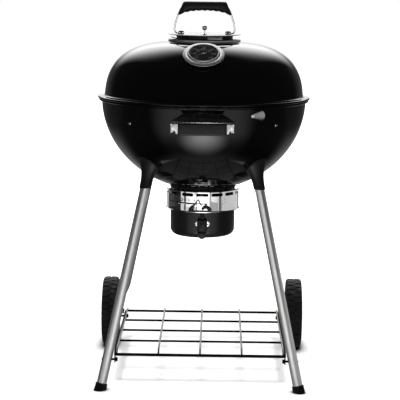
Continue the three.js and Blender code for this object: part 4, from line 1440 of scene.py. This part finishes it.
@dataclass
class Wheels(Assembly):
    """Tyres with moulded tread, wheel centres and hub caps."""

    radius: float = 101.6
    width: float = 46
    x: float = 270.5
    y: float = 242.704
    rim: float = 66
    blocks: int = 34

    def frame_of(self, side: int) -> Matrix:
        """Where a wheel stands: Z along its axle, outwards."""
        return Matrix.Translation((side * self.x, self.y,
                                   self.radius)) @ Matrix.Rotation(side * math.pi / 2, 4, "Y")

    def block(self, side: int) -> Solid:
        """One tread block on one half of the tread, running down the shoulder.

        Args:
            side: which half of the tread, 1 or -1.

        Returns:
            The block.
        """
        pitch = 2 * math.pi * self.radius / self.blocks
        width = pitch * 0.74
        base, top = self.radius - 4.5, self.radius
        stations = [(1.6, 0.0, top), (8.5, 3.4, top), (14.5, 3.4, top - 0.1), (19.5, 4.4, top - 1.6),
                    (22.2, 4.8, top - 6.5), (22.6, 4.8, top - 13)]
        rings = []
        for v, shift, high in stations:
            low = min(base, high - 3)
            corners = [(-width / 2, low), (-width / 2 + 0.6, high), (0, high + 0.02),
                       (width / 2 - 0.6, high), (width / 2, low)]
            ring = []
            for u, r in corners:
                turn = (u + shift) / self.radius
                ring.append(Vector((r * math.sin(turn), r * math.cos(turn), side * v)))
            rings.append(ring)
        return loft(rings)

    def tyre(self) -> Solid:
        """Carcass and two staggered rows of tread blocks.

        Returns:
            The tyre, turning about Z.
        """
        half = self.width / 2
        crown = self.radius - 3.2
        profile = [(self.rim, -half + 3), (self.rim + 3, -half + 1.4), (self.radius - 24, -half + 0.6),
                   (self.radius - 14, -half + 0.6), (self.radius - 8, -half + 2.2),
                   (self.radius - 4.6, -half + 5.5), (crown, -half + 11), (crown, 0)]
        profile += [(r, -z) for r, z in reversed(profile[:-1])]
        solid = lathe(profile, 136)
        solid.join(repeated(self.block(1), self.blocks))
        offset = Matrix.Rotation(math.pi / self.blocks, 4, "Z")
        return solid.join(repeated(self.block(-1), self.blocks).moved(offset))

    def centre(self) -> Solid:
        """Hub, web and rim in one moulding with ribs on both faces.

        Returns:
            The wheel centre, turning about Z.
        """
        outer, half = self.rim - 0.4, self.width / 2 - 4
        profile = [(5.4, -half - 1.2), (16.4, -half - 1.2), (17, -half - 0.6), (18, -3.6), (19, -3),
                   (57, -3), (58.6, -4), (60.2, -half + 0.6), (61, -half), (outer - 0.6, -half),
                   (outer, -half + 0.8), (outer, half - 0.8), (outer - 0.6, half), (61, half),
                   (60.2, half - 0.6), (58.6, 4), (57, 3), (19, 3), (18, 3.6), (17, half - 3.6),
                   (16.4, half - 3), (5.4, half - 3)]
        solid = lathe(profile, 96)
        rib = rounded([(-2.2, 15, 0), (2.2, 15, 0), (1.7, 60, 0), (-1.7, 60, 0)])
        for low, high in ((2, half - 6), (-half + 6, -2)):
            solid.join(repeated(plate(rib, low, high, 0.5), 10))
        return solid

    def build(self) -> None:
        """Makes both wheels."""
        half = self.width / 2
        cap = [(0, half - 2.6), (5.4, half - 2.6), (5.4, half - 6.6), (16.2, half - 6.6),
               (16.9, half - 6), (16.9, half - 4.2), (16, half - 3), (12, half - 0.8), (6, half - 0.1),
               (0, half)]
        for place, side in (("right", 1), ("left", -1)):
            at = self.frame_of(side)
            body = f"wheel_{place}"
            self.piece(f"wheel_tyre_{place}", self.tyre().moved(at), TYRE, body, [f"tyre_{place}"],
                       smooth=38)
            self.piece(f"wheel_hub_{place}", self.centre().moved(at), NYLON, body,
                       [f"wheel_centre_{place}"])
            self.piece(f"hub_push_cap_{place}", lathe(cap, 48).moved(at), NYLON, "base",
                       [f"hub_cap_{place}"])
            self.dress(f"axle_bolt_{place}", BRIGHT)


@dataclass
class Shelf(Assembly):
    """Wire shelf between the legs, with its corner tabs and bolts."""

    z: float = 100.7
    front_z: float = 93
    rows: tuple[float, ...] = (246, 123, 0, -123, -246)
    side: float = 226
    long_wires: tuple[float, ...] = (-221.6, -110.8, 0, 110.8, 221.6)
    overhang: float = 8
    bolt_front: float = 80
    bolt_rear: float = 85

    def rods(self) -> Solid:
        """Cross rods and side rails.

        Returns:
            The wire frame.
        """
        side, z = self.side, self.z
        back, *middle, front = self.rows
        solid = wires([[Vector((-side, y, z)), Vector((side, y, z))] for y in middle], 3)
        rails = [[Vector((x, front, self.front_z)), Vector((x, front + 22, z)), Vector((x, back, z))]
                 for x in (-side, side)]
        solid.join(wires(rails, 3, 9))
        solid.join(wires([[Vector((-side, back, z)), Vector((side, back, z))]], 3.4))
        return solid.join(wires([[Vector((-side, front, self.front_z)),
                                  Vector((side, front, self.front_z))]], 4, sides=16))

    def tabs(self, legs: Legs) -> Solid:
        """Flat eyes that the corner bolts go through.

        Args:
            legs: the legs that the bolts go through.

        Returns:
            The eyes.
        """
        solid = Solid()
        turn = Matrix(((0, 0, 1, 0), (1, 0, 0, 0), (0, 1, 0, 0), (0, 0, 0, 1)))
        for sx in (1, -1):
            for sy in (1, -1):
                bolt = self.bolt_rear if sy > 0 else self.bolt_front
                top = self.z if sy > 0 else self.front_z
                y = sy * legs.out(bolt)
                outline = [(y + 6, top), (y - 6, top)] + [(y + a, bolt + b)
                                                          for a, b in arc((0, 0), 9, 150, 390, 18)]
                solid.join(plate(outline, sx * self.side - 1.5, sx * self.side + 1.5, 0.3).moved(turn))
        return solid

    def bolt(self, sx: int, sy: int, legs: Legs) -> Solid:
        """Six-sided head on the inside and a shank through the leg.

        Args:
            sx: which side in X, 1 or -1.
            sy: which side in Y, 1 or -1.
            legs: the legs that the bolts go through.

        Returns:
            The bolt.
        """
        z = self.bolt_rear if sy > 0 else self.bolt_front
        y = sy * legs.out(z)
        inner = self.side - 1.9
        end = legs.out(z) + (3.4 if sy > 0 else legs.radius + 0.8)
        head = rod(Vector((sx * (inner - 5), y, z)), Vector((sx * inner, y, z)), 6.5, 6, 0.7)
        shank = rod(Vector((sx * (inner - 1), y, z)), Vector((sx * end, y, z)), 3, 16, 0.5)
        return head.join(shank)

    def build_for(self, legs: Legs) -> None:
        """Makes the shelf and its bolts.

        Args:
            legs: the legs that hold it.
        """
        back, front = self.rows[0], self.rows[-1]
        top = self.z + 3 + 2.5 - 0.6
        runs = [[Vector((x, front + 2, self.front_z + 4)), Vector((x, front + 21, top)),
                 Vector((x, back + self.overhang, top))] for x in self.long_wires]
        self.piece("shelf_rods", self.rods().join(self.tabs(legs)), ROD_PAINT, "base", ["bottom_shelf"])
        self.piece("shelf_long_wires", wires(runs, 2.5, 8), SHELF_WIRE, "base", ["bottom_shelf"])
        for place, sx, sy in CORNERS:
            self.piece(f"corner_bolt_{place}", self.bolt(sx, sy, legs), ROD_PAINT, "base",
                       [f"shelf_bolt_{place}"])


@dataclass
class Lid(Assembly):
    """Enamelled lid with its rolled rim."""

    radius: float = 272
    base: float = 762
    height: float = 155
    round_power: float = 3.4
    flat_power: float = 2.35
    lip: float = 291.5
    hole: float = 56
    low: float = 757.9
    sheet: float = 2

    def arc(self, inset: float, steps: int = 64) -> list[Flat]:
        """The wall's profile from the skirt to the vent hole, moved inwards.

        Args:
            inset: how far it moves in.
            steps: how many parts the arc has.

        Returns:
            Radius and height of each point.
        """
        radius, height = self.radius - inset, self.height - inset
        end = math.acos((self.hole / radius) ** (self.round_power / 2))
        turns = [end * i / steps for i in range(steps + 1)]
        return [(radius * math.cos(t) ** (2 / self.round_power),
                 self.base + height * math.sin(t) ** (2 / self.flat_power)) for t in turns]

    def build(self) -> None:
        """Makes the lid's shell."""
        low = self.low
        lip = [(self.radius - self.sheet, low + 1.4), (self.radius - self.sheet + 1, low)]
        lip += arc((self.lip - 3.6, low + 3.6), 3.6, -90, 90, 9)
        lip += [(self.radius + 6, low + 7.3), (self.radius + 2.6, low + 8.2),
                (self.radius + 0.6, low + 10)]
        outer = [p for p in self.arc(0) if p[1] > low + 12]
        inner = list(reversed(self.arc(self.sheet)))[:-1]
        self.piece("lid_wall", lathe(lip + outer + inner, 180), ENAMEL, "lid", ["lid_shell"], smooth=40)


@dataclass
class LidVent(Assembly):
    """Vent on top of the lid: base plate, drum, turning damper, heat shield and ball knob."""

    plate_radius: float = 99
    drum_radius: float = 77.5
    wall: float = 1.5
    bottom: float = 919
    top: float = 930
    sill: float = 2.6
    windows: tuple[tuple[float, float], ...] = ((-20, 40), (113, 173), (230, 280))
    turn: float = 27
    shield_bottom: float = 930.4
    shield_thickness: float = 1.6

    def ring(self, outer: float, turn: float, slot: bool) -> Solid:
        """A thin ring wall with its windows, turned by an angle.

        Args:
            outer: the wall's outer radius.
            turn: degrees the windows are turned.
            slot: whether the lever's slot is cut too.

        Returns:
            The ring.
        """
        low, high = self.bottom + (0.3 if slot else 0.4), self.top
        shell = lathe([(outer - self.wall, low), (outer, low), (outer, high), (outer - self.wall, high)],
                      160)
        tool = Solid()
        spans = [(a + turn, b + turn, self.bottom + self.sill, self.top - self.sill)
                 for a, b in self.windows]
        if slot:
            spans.append((236, 310, self.bottom - 2, self.bottom + self.sill + 0.4))
        for start, end, under, over in spans:
            steps = max(4, int((end - start) / 4))
            edge = arc((0, 0), outer + 4, start - 90, end - 90,
                       steps) + arc((0, 0), outer - 6, end - 90, start - 90, steps)
            tool.join(plate(edge, under, over, 0.05))
        return carved(shell, tool)

    def lever(self) -> Solid:
        """Damper lever that leaves through the drum and turns up at its end.

        Returns:
            The lever.
        """
        outer = self.drum_radius - self.wall - 0.8
        low = self.bottom + 0.4
        outline = rounded([(-outer - 17, -6, 4), (-outer - 17, 6, 4), (-outer + 1, 6, 0),
                           (-outer + 1, -6, 0)], 5)
        flat = plate(outline, low, low + 1.8, 0.4)
        return flat.bent(lambda v: Vector((v.x, v.y, v.z + 4 * min(1, max(0, (-v.x - outer - 4) / 10)))))

    def shield(self) -> Solid:
        """Dished disc with a raised bead round its edge.

        Returns:
            The disc.
        """
        low, thick, radius = self.shield_bottom, self.shield_thickness, self.plate_radius
        under = [(0, low), (radius - 9, low), (radius - 6, low + 0.4), (radius - 1.4, low + 1.2),
                 (radius, low + 1.5)]
        over = [(radius, low + thick + 1.1), (radius - 1, low + thick + 1.4),
                (radius - 5, low + thick + 0.9), (radius - 8, low + thick), (56, low + thick),
                (54, low + thick - 0.3), (52, low + thick), (0, low + thick)]
        return lathe(under + over, 160).following(outward)

    def build(self) -> None:
        """Makes the vent's pieces."""
        low = self.bottom
        plate_ring = [(70, low - 1.6), (self.plate_radius - 1.2, low - 1.6),
                      (self.plate_radius - 1.2, low - 3.4), (self.plate_radius, low - 3.6),
                      (self.plate_radius, low - 0.5), (self.plate_radius - 0.4, low - 0.1),
                      (70, low - 0.1)]
        self.piece("vent_plate", lathe(plate_ring, 160).following(outward), VENT_PLATE, "lid",
                   ["vent_base_plate"])
        self.piece("vent_drum_wall", self.ring(self.drum_radius, 0, True), SATIN, "lid", ["vent_drum"])
        damper = self.ring(self.drum_radius - self.wall - 0.8, self.turn, False).join(self.lever())
        self.piece("damper_ring", damper, SATIN, "lid_damper", ["vent_damper"])
        self.piece("heat_shield_disc", self.shield(), SHIELD, "lid", ["heat_shield"])
        base, top = self.shield_bottom, self.shield_bottom + self.shield_thickness
        knob = [(0, base - 4.4), (5.6, base - 4.4), (6, base - 4), (6, base - 0.4), (2.4, base - 0.4),
                (2.4, top + 0.3), (6, top + 0.3), (5.6, top + 1.4), (4, top + 2.2), (2.4, top + 2.8),
                (2.3, 943.5)]
        knob += [(7 * math.sin(t), 950 - 7 * math.cos(t))
                 for t in (0.34 + (math.pi - 0.34) * i / 18 for i in range(18))] + [(0, 957)]
        self.piece("ball_knob", lathe(knob, 36), BRIGHT, "lid", ["shield_knob"])


@dataclass
class LidHandle(Assembly):
    """Wire bail with its moulded grip and two domed bolts."""

    wire: float = 2.2
    foot: float = 64
    top: float = 1009
    grip_top: float = 1021.5
    grip_low: float = 985
    depth: float = 15
    seat: float = 932
    scallops: int = 7

    def path(self) -> list[Vector]:
        """The bail's centre line.

        Returns:
            Points from foot to foot.
        """
        left = [(-70, 934.8), (-79, 936), (-83, 944), (-80, 963), (-72, 987), (-65, 1003), (-54, 1009)]
        both = left + [(-x, z) for x, z in reversed(left)]
        return [Vector((x, 0, z)) for x, z in both]

    def eyes(self) -> Solid:
        """Flat eyes at the bail's feet.

        Returns:
            Both eyes.
        """
        low, high = self.seat + 0.4, self.seat + 4.2
        ring = [(2.7, low), (7.4, low), (8, low + 0.8), (8, high - 0.8), (7.4, high), (2.7, high)]
        return Solid().join(*[lathe(ring, 32).moved(Matrix.Translation((x, 0, 0)))
                              for x in (-self.foot, self.foot)])

    def grip(self) -> Solid:
        """Arched grip with finger scallops along its underside.

        Returns:
            The grip.
        """
        count = 140
        rings = []
        outer = rounded([(-73, self.grip_low, 0), (-59, self.grip_top, 9), (59, self.grip_top, 9),
                         (73, self.grip_low, 0), (0, -900, 0)], 10)[:-1]
        lengths = [0.0]
        for a, b in zip(outer, outer[1:]):
            lengths.append(lengths[-1] + math.dist(a, b))
        for k in range(count + 1):
            part = k / count
            aim = lengths[-1] * part
            j = max(i for i in range(len(outer) - 1) if lengths[i] <= aim + 1e-9)
            mix = (aim - lengths[j]) / (lengths[j + 1] - lengths[j])
            ox, oz = (outer[j][i] + (outer[j + 1][i] - outer[j][i]) * mix for i in (0, 1))
            ix = 66 * (2 * part - 1)
            wave = abs(math.cos(math.pi * ix / 15.5))
            ends = max(0.0, 1 - (abs(ix) / 66) ** 2.4)
            iz = self.grip_low + 11.2 * ends ** 0.75 + 1.9 * (1 - wave) * min(1, 3 * ends)
            centre = Vector(((ox + ix) / 2, 0, (oz + iz) / 2))
            up = Vector(((ox - ix) / 2, 0, (oz - iz) / 2))
            depth = self.depth * (0.62 + 0.38 * min(1, 2.5 * ends))
            ring = []
            for a in (2 * math.pi * i / 28 for i in range(28)):
                c, s = (math.copysign(abs(t) ** 0.62, t) for t in (math.cos(a), math.sin(a)))
                ring.append(centre + Vector((0, depth * c, 0)) + up * s)
            rings.append(ring)
        return loft(rings)

    def build(self) -> None:
        """Makes the handle's pieces."""
        bail = wires([self.path()], self.wire, 7, 16).join(self.eyes())
        self.piece("bail_wire", bail, BRIGHT, "lid", ["handle_bail"])
        self.piece("lid_grip", self.grip(), NYLON, "lid", ["handle_grip"], smooth=50)
        seat = self.seat + 5.2
        dome = [(0, 908), (2.2, 908), (2.2, seat), (8.2, seat), (8.2, seat + 1.2)]
        dome += [(8.0 * math.cos(t), seat + 1.2 + 3.6 * math.sin(t))
                 for t in (math.pi / 2 * i / 8 for i in range(1, 8))]
        dome.append((0, seat + 4.8))
        for place, x in (("left", -self.foot), ("right", self.foot)):
            bolt = lathe(dome, 32).moved(Matrix.Translation((x, 0, 0)))
            self.piece(f"bail_dome_bolt_{place}", bolt, NYLON, "lid", [f"bail_bolt_{place}"])


@dataclass
class Thermometer(Assembly):
    """Dial thermometer on the front of the lid."""

    place: Vector = field(default_factory=lambda: Vector((0, -209, 885.98)))
    tip: float = 30.636
    case: float = 39
    bezel: float = 54.7
    needle_turn: float = 118

    def frame_of(self) -> Matrix:
        """Where the dial lies: Z out of its face, Y up the lid."""
        return Matrix.Translation(self.place) @ Matrix.Rotation(math.radians(self.tip), 4, "X")

    def bezel_ring(self) -> Solid:
        """Wide dished flange with a rolled inner ring over the glass.

        Returns:
            The flange, facing +Z.
        """
        inner = self.case - 1.2
        profile = [(self.case + 0.4, 1.6), (self.case + 0.4, 5.3), (inner + 0.4, 5.3), (inner + 0.4, 8.9)]
        profile += arc((inner + 1.7, 8.4), 1.3, 150, 20, 5)
        profile += [(inner + 4.4, 6.9), (inner + 5.6, 6.3), (inner + 6.6, 6.5), (inner + 8, 6.6),
                    (self.bezel - 5, 5.2), (self.bezel - 1.5, 4.0), (self.bezel - 0.3, 3.4),
                    (self.bezel, 2.8), (self.bezel - 0.6, 2.1), (self.case + 5, 2.4)]
        return lathe(profile, 128).following(lambda v: v)

    def numbers(self) -> Solid:
        """Plain numbers round the dial.

        Returns:
            The numbers, facing +Z.
        """
        solid = Solid()
        for i, text in enumerate(("50", "100", "150", "200", "250", "300", "350")):
            curve = bpy.data.curves.new(f"number_{text}", "FONT")
            curve.body = text
            curve.size = 7.6
            curve.offset = 0.16
            curve.align_x = "CENTER"
            curve.align_y = "CENTER"
            curve.extrude = 0.06
            carrier = bpy.data.objects.new(curve.name, curve)
            bpy.context.scene.collection.objects.link(carrier)
            turn = math.radians(225 - 45 * i)
            at = Vector((25.5 * math.cos(turn), 25.5 * math.sin(turn), 6.12))
            solid.join(evaluated(carrier).moved(Matrix.Translation(at)))
            bpy.data.objects.remove(carrier)
        return solid

    def marks(self) -> Solid:
        """Tick marks and a thin ring.

        Returns:
            The marks, facing +Z.
        """
        long_tick = plate([(-0.8, 30.5), (0.8, 30.5), (0.8, 35.6), (-0.8, 35.6)], 6.0, 6.16, 0.03)
        short_tick = plate([(-0.45, 33), (0.45, 33), (0.45, 35.6), (-0.45, 35.6)], 6.0, 6.16, 0.03)
        turn = Matrix.Rotation(math.radians(-135), 4, "Z")
        ticks = repeated(long_tick, 7, 45).join(repeated(short_tick, 31, 9))
        ring = lathe([(36.0, 6.0), (36.5, 6.0), (36.5, 6.15), (36.0, 6.15)], 72)
        band = arc((0, 0), 19.6, 20, 160, 24) + arc((0, 0), 17.4, 160, 20, 24)
        return ticks.moved(turn).join(ring, plate(band, 6.0, 6.14, 0.03))

    def build(self) -> None:
        """Makes the thermometer's pieces."""
        at = self.frame_of()
        own = at.inverted()

        def flow(v: Vector) -> Vector:
            """Coordinates in rings about the dial."""
            return outward(own @ v)
        ring = self.bezel_ring().moved(at).following(flow)
        self.piece("dial_bezel", ring, BEZEL, "lid", ["thermometer_bezel"], smooth=28)
        case = [(0, -62), (2.2, -61.6), (3, -60), (3, 0.6), (self.case, 0.6), (self.case, 5), (0, 5)]
        self.piece("dial_case", lathe(case, 64).moved(at).following(flow), BRUSHED, "lid",
                   ["thermometer_case"])
        inner = self.case - 1.2
        face = [(0, 5.4), (inner, 5.4), (inner, 5.9), (inner - 0.3, 6.0), (0, 6.0)]
        self.piece("dial_face_plate", lathe(face, 64).moved(at), DIAL, "lid", ["thermometer_dial"])
        self.piece("dial_marks", self.marks().moved(at), MARKS, "lid")
        self.piece("dial_numbers", self.numbers().moved(at), MARKS, "lid")
        hand = plate([(-2.0, -9), (2.0, -9), (1.1, 0), (0.35, 31.5), (-0.35, 31.5), (-1.1, 0)], 6.4, 7.0,
                     0.12)
        hand.join(lathe([(0, 6.4), (4, 6.4), (4, 6.9), (3.4, 7.2), (0, 7.3)], 32))
        turned = at @ Matrix.Rotation(math.radians(self.needle_turn), 4, "Z")
        self.piece("dial_hand", hand.moved(turned), BRIGHT, "dial_needle", ["thermometer_needle"])
        glass = [(0, 7.6), (inner, 7.6), (inner, 8.6), (inner - 0.2, 8.8), (0, 8.8)]
        self.piece("dial_window", lathe(glass, 64).moved(at), GLASS, "lid", ["thermometer_glass"])
        self.dress("thermometer_nut", BRUSHED_PLATE)


# ---- stage ----------------------------------------------------------------------------------
@dataclass
class Studio:
    """Pale floor, soft light and the camera."""

    camera_place: tuple[float, float, float] = (0.0001, -4.1909, 1.1077)
    pitch: float = -8.601
    yaw: float = 0.101
    roll: float = 0.662
    lens: float = 137.19
    swing: float = 0.5
    floor_half: float = 14.0
    cards: tuple[tuple[str, float, float, float, float],
                 ...] = (("front_card", 3, 2.5, 1.75, 1.45), ("front_left_card", -45, 2.9, 2.9, 0.7),
                         ("front_right_card", 42, 2.9, 1.95, 0.42), ("right_card", 105, 2.6, 4.8, 0.6),
                         ("back_left_card", -158, 2.6, 1.9, 0.55))

    def camera(self) -> None:
        """Sets the camera at the front, a little above the rim."""
        data = bpy.data.cameras.new("camera")
        data.lens = self.lens
        data.sensor_width = 36
        data.clip_end = 100
        made = bpy.data.objects.new("camera", data)
        turn = Matrix.Rotation(math.radians(self.yaw), 4, "Z")
        turn = turn @ Matrix.Rotation(math.radians(90 + self.pitch), 4,
                                      "X") @ Matrix.Rotation(math.radians(self.roll), 4, "Z")
        made.matrix_world = Matrix.Rotation(math.radians(self.swing), 4,
                                            "Z") @ Matrix.Translation(self.camera_place) @ turn
        bpy.context.scene.collection.objects.link(made)
        bpy.context.scene.camera = made

    def floor(self) -> bpy.types.Object:
        """Pale floor, white to the eye and dim in the enamel save for a soft pool in front.

        Returns:
            The floor.
        """
        mesh = bpy.data.meshes.new("floor")
        half = self.floor_half
        mesh.from_pydata([(-half, -half, 0), (half, -half, 0), (half, half, 0), (-half, half, 0)], [],
                         [(0, 1, 2, 3)])
        made = bpy.data.objects.new("floor", mesh)
        bpy.context.scene.collection.objects.link(made)
        material = bpy.data.materials.new("floor_paper")
        material.use_nodes = True
        material.node_tree.nodes.clear()
        wiring = Wiring(material.node_tree)
        seen = wiring.node("ShaderNodeLightPath").outputs["Is Camera Ray"]
        place = wiring.node("ShaderNodeNewGeometry").outputs["Position"]
        spread = wiring.node("ShaderNodeVectorMath", {0: place}, operation="LENGTH").outputs["Value"]
        white = wiring.node("ShaderNodeBsdfDiffuse", {"Color": (0.8, 0.8, 0.8, 1)})
        lift = wiring.node("ShaderNodeEmission",
                           {"Color": (1, 1, 1, 1), "Strength": wiring.ramp(spread, 0.6, 2.0, 0.16, 1.1)})
        lit = wiring.node("ShaderNodeAddShader", {0: white.outputs[0], 1: lift.outputs[0]})
        # Ambient occlusion paints contact shade into the floor round the feet and tyres.
        painted_contact_shade = wiring.node("ShaderNodeAmbientOcclusion", {"Distance": 0.05}, samples=8).outputs["AO"]
        shade = wiring.node("ShaderNodeEmission", {"Color": (0, 0, 0, 1), "Strength": 0.0})
        paper = wiring.node("ShaderNodeMixShader",
                            {0: wiring.ramp(painted_contact_shade, 0.35, 0.95), 1: shade.outputs[0], 2: lit.outputs[0]})
        dim = wiring.node("ShaderNodeEmission",
                          {"Color": (1, 0.985, 0.985, 1),
                           "Strength": self.reflected(wiring, place, spread)})
        mix = wiring.node("ShaderNodeMixShader", {0: seen, 1: dim.outputs[0], 2: paper.outputs[0]})
        wiring.node("ShaderNodeOutputMaterial", {"Surface": mix.outputs[0]})
        mesh.materials.append(material)
        made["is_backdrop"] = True
        return made

    @staticmethod
    def reflected(wiring: Wiring, place: Socket, spread: Socket) -> Socket:
        """How bright the floor is in the enamel.

        Args:
            wiring: the floor's node tree.
            place: position on the floor.
            spread: distance from the grill's axis.

        Returns:
            The strength of the floor's glow.
        """
        away = wiring.node("ShaderNodeVectorMath", {0: place, 1: (0.0, -0.88, 0.0)},
                           operation="DISTANCE").outputs["Value"]
        pool = wiring.ramp(away, 0.0, 0.52, 4.6, 0.0)
        parts = wiring.node("ShaderNodeSeparateXYZ", {0: place})
        across, depth = parts.outputs["X"], parts.outputs["Y"]
        ahead = wiring.sum("MULTIPLY", wiring.sum("DIVIDE", depth, spread), -1.0)
        fan = wiring.sum("MULTIPLY", wiring.ramp(ahead, 0.45, 0.85, 0.03, 0.6),
                         wiring.ramp(spread, 0.55, 1.2, 0.12, 1.0))
        far = wiring.sum("MULTIPLY", wiring.ramp(ahead, 0.95, 0.998, 0.0, 1.1),
                         wiring.ramp(spread, 1.5, 3.2))
        behind = wiring.sum("ADD", wiring.ramp(depth, 0.3, 1.1, 0.0, 0.33),
                            wiring.ramp(depth, 2.0, 5.0, 0.0, 0.3))
        side = wiring.ramp(wiring.sum("ABSOLUTE", across), 0.5, 1.8, 1.0, 0.1)
        below = wiring.ramp(spread, 0.3, 0.55, 0.16, 0.0)
        front = wiring.sum("ADD", wiring.sum("ADD", pool, fan), wiring.sum("ADD", far, below))
        return wiring.sum("ADD", front, wiring.sum("MULTIPLY", behind, side))

    def world(self) -> None:
        """Studio round the grill: bright behind and at the sides, dim in front and overhead."""
        world = bpy.data.worlds.new("studio")
        world.use_nodes = True
        world.node_tree.nodes.clear()
        wiring = Wiring(world.node_tree)
        way = wiring.node("ShaderNodeTexCoord").outputs["Generated"]
        parts = wiring.node("ShaderNodeSeparateXYZ", {0: way})
        across, back, up = (parts.outputs[name] for name in "XYZ")
        off = wiring.sum("ABSOLUTE", wiring.sum("ADD", across, 0.03))
        rise = wiring.sum("MULTIPLY", wiring.ramp(up, 0.15, 0.4), wiring.ramp(up, 0.5, 0.92, 1.0, 0.0))
        panel = wiring.sum("MULTIPLY", wiring.ramp(off, 0.2, 0.58, 3.1, 0.0), rise)
        panel = wiring.sum("MULTIPLY", panel, wiring.ramp(back, 0.15, 0.6))
        screen = wiring.sum("MULTIPLY", wiring.ramp(off, 0.08, 0.34, 1.3, 0.1),
                            wiring.ramp(up, 0.25, 0.45, 1.0, 0.0))
        screen = wiring.sum("MULTIPLY", screen, wiring.ramp(back, 0.6, 0.92))
        glow = wiring.sum("ADD", wiring.sum("ADD", panel, screen), 0.02)
        studio = wiring.node("ShaderNodeBackground", {"Color": (1, 1, 1, 1), "Strength": glow})
        white = wiring.node("ShaderNodeBackground", {"Color": (1, 1, 1, 1), "Strength": 1.0})
        seen = wiring.node("ShaderNodeLightPath").outputs["Is Camera Ray"]
        mix = wiring.node("ShaderNodeMixShader", {0: seen, 1: studio.outputs[0], 2: white.outputs[0]})
        wiring.node("ShaderNodeOutputWorld", {"Surface": mix.outputs[0]})
        bpy.context.scene.world = world

    @staticmethod
    def lamp(name: str, place: Corner, size: Flat, power: float, only: bpy.types.Collection,
             shows: bool = True) -> None:
        """A soft rectangular lamp aimed at the middle of the grill.

        Args:
            name: the lamp's name.
            place: where it stands, in metres.
            size: its width and height.
            power: its power in watts.
            only: pieces that it lights.
            shows: whether it is seen mirrored in them.
        """
        data = bpy.data.lights.new(name, "AREA")
        data.shape = "RECTANGLE"
        data.size, data.size_y = size
        data.energy = power
        made = bpy.data.objects.new(name, data)
        made.location = place
        aim = Vector((0, 0, 0.6)) - Vector(place)
        made.rotation_euler = aim.to_track_quat("-Z", "Y").to_euler()
        made.visible_camera = False
        made.visible_glossy = shows
        made.light_linking.receiver_collection = only
        bpy.context.scene.collection.objects.link(made)

    @staticmethod
    def group(name: str, members: Iterable[bpy.types.Object]) -> bpy.types.Collection:
        """A collection that lamps can be kept to.

        Args:
            name: the collection's name.
            members: what it holds.

        Returns:
            The collection.
        """
        made = bpy.data.collections.new(name)
        for member in members:
            made.objects.link(member)
        return made

    @staticmethod
    def sun(floor: bpy.types.Collection, blockers: bpy.types.Collection) -> None:
        """Light from high in front that only lights the floor and is only stopped by the low parts.

        Args:
            floor: what it lights.
            blockers: what casts its shadows.
        """
        data = bpy.data.lights.new("floor_sun", "SUN")
        data.energy = 4.6
        data.angle = 0.2
        made = bpy.data.objects.new("floor_sun", data)
        made.rotation_euler = (math.radians(44), 0, 0)
        made.visible_glossy = False
        made.light_linking.receiver_collection = floor
        made.light_linking.blocker_collection = blockers
        bpy.context.scene.collection.objects.link(made)

    def build(self, pieces: Sequence[bpy.types.Object]) -> None:
        """Sets the whole stage; the metal pieces have lamps of their own.

        Args:
            pieces: every piece of the object.
        """
        self.camera()
        floor = self.floor()
        self.world()
        low = ("shelf_", "foot_", "wheel_tyre_")
        self.sun(self.group("floor_only", [floor]),
                 self.group("low_parts", [p for p in pieces if p.name.startswith(low)]))
        everything = self.group("grill", pieces)
        self.lamp("overhead", (0.0, 0.6, 4.2), (4.5, 3.0), 120, everything, False)
        self.lamp("left_strip", (-3.2, -1.2, 1.3), (0.7, 2.6), 40, everything, False)
        self.lamp("right_strip", (3.2, -1.2, 1.3), (0.7, 2.6), 35, everything, False)
        metal = self.group("metal", [p for p in pieces if p["metal"]])
        for name, azimuth, distance, width, radiance in self.cards:
            place = around(azimuth, distance, 0.5)
            self.lamp(name, tuple(place), (width, 1.8), radiance * math.pi * width * 1.8, metal)
        self.lamp("top_card", (0.0, 1.2, 3.6), (1.6, 1.2), 22, metal)
        edge = self.group("guard_edge", [p for p in pieces if p.name == "bowl_handle_guard"])
        self.lamp("edge_card", (0.0, -0.95, 1.76), (0.14, 1.2), 20, edge)
        bpy.context.scene.view_settings.view_transform = "Standard"


def corners() -> list[list[float]]:
    """The object's box as plain lists."""
    return [list(corner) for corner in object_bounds()]


def main() -> None:
    """Builds the grill in order, then the stage round it."""
    logging.basicConfig(level=logging.INFO, format="%(message)s")
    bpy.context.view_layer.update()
    bowl, legs = Bowl(), Legs()
    bowl.build()
    handle = BowlHandle()
    handle.build_for(bowl)
    grates, ash, wheels, shelf = Grates(), AshSide(), Wheels(), Shelf()
    for part in (grates, ash, legs, wheels):
        part.build()
    shelf.build_for(legs)
    lid, vent, bail, dial = Lid(), LidVent(), LidHandle(), Thermometer()
    for part in (lid, vent, bail, dial):
        part.build()
    parts = (bowl, handle, grates, ash, legs, wheels, shelf, lid, vent, bail, dial)
    pieces = [piece for part in parts for piece in part.made]
    Studio().build(pieces)
    LOG.info("%d pieces", len(pieces))


if __name__ == "__main__":
    main()
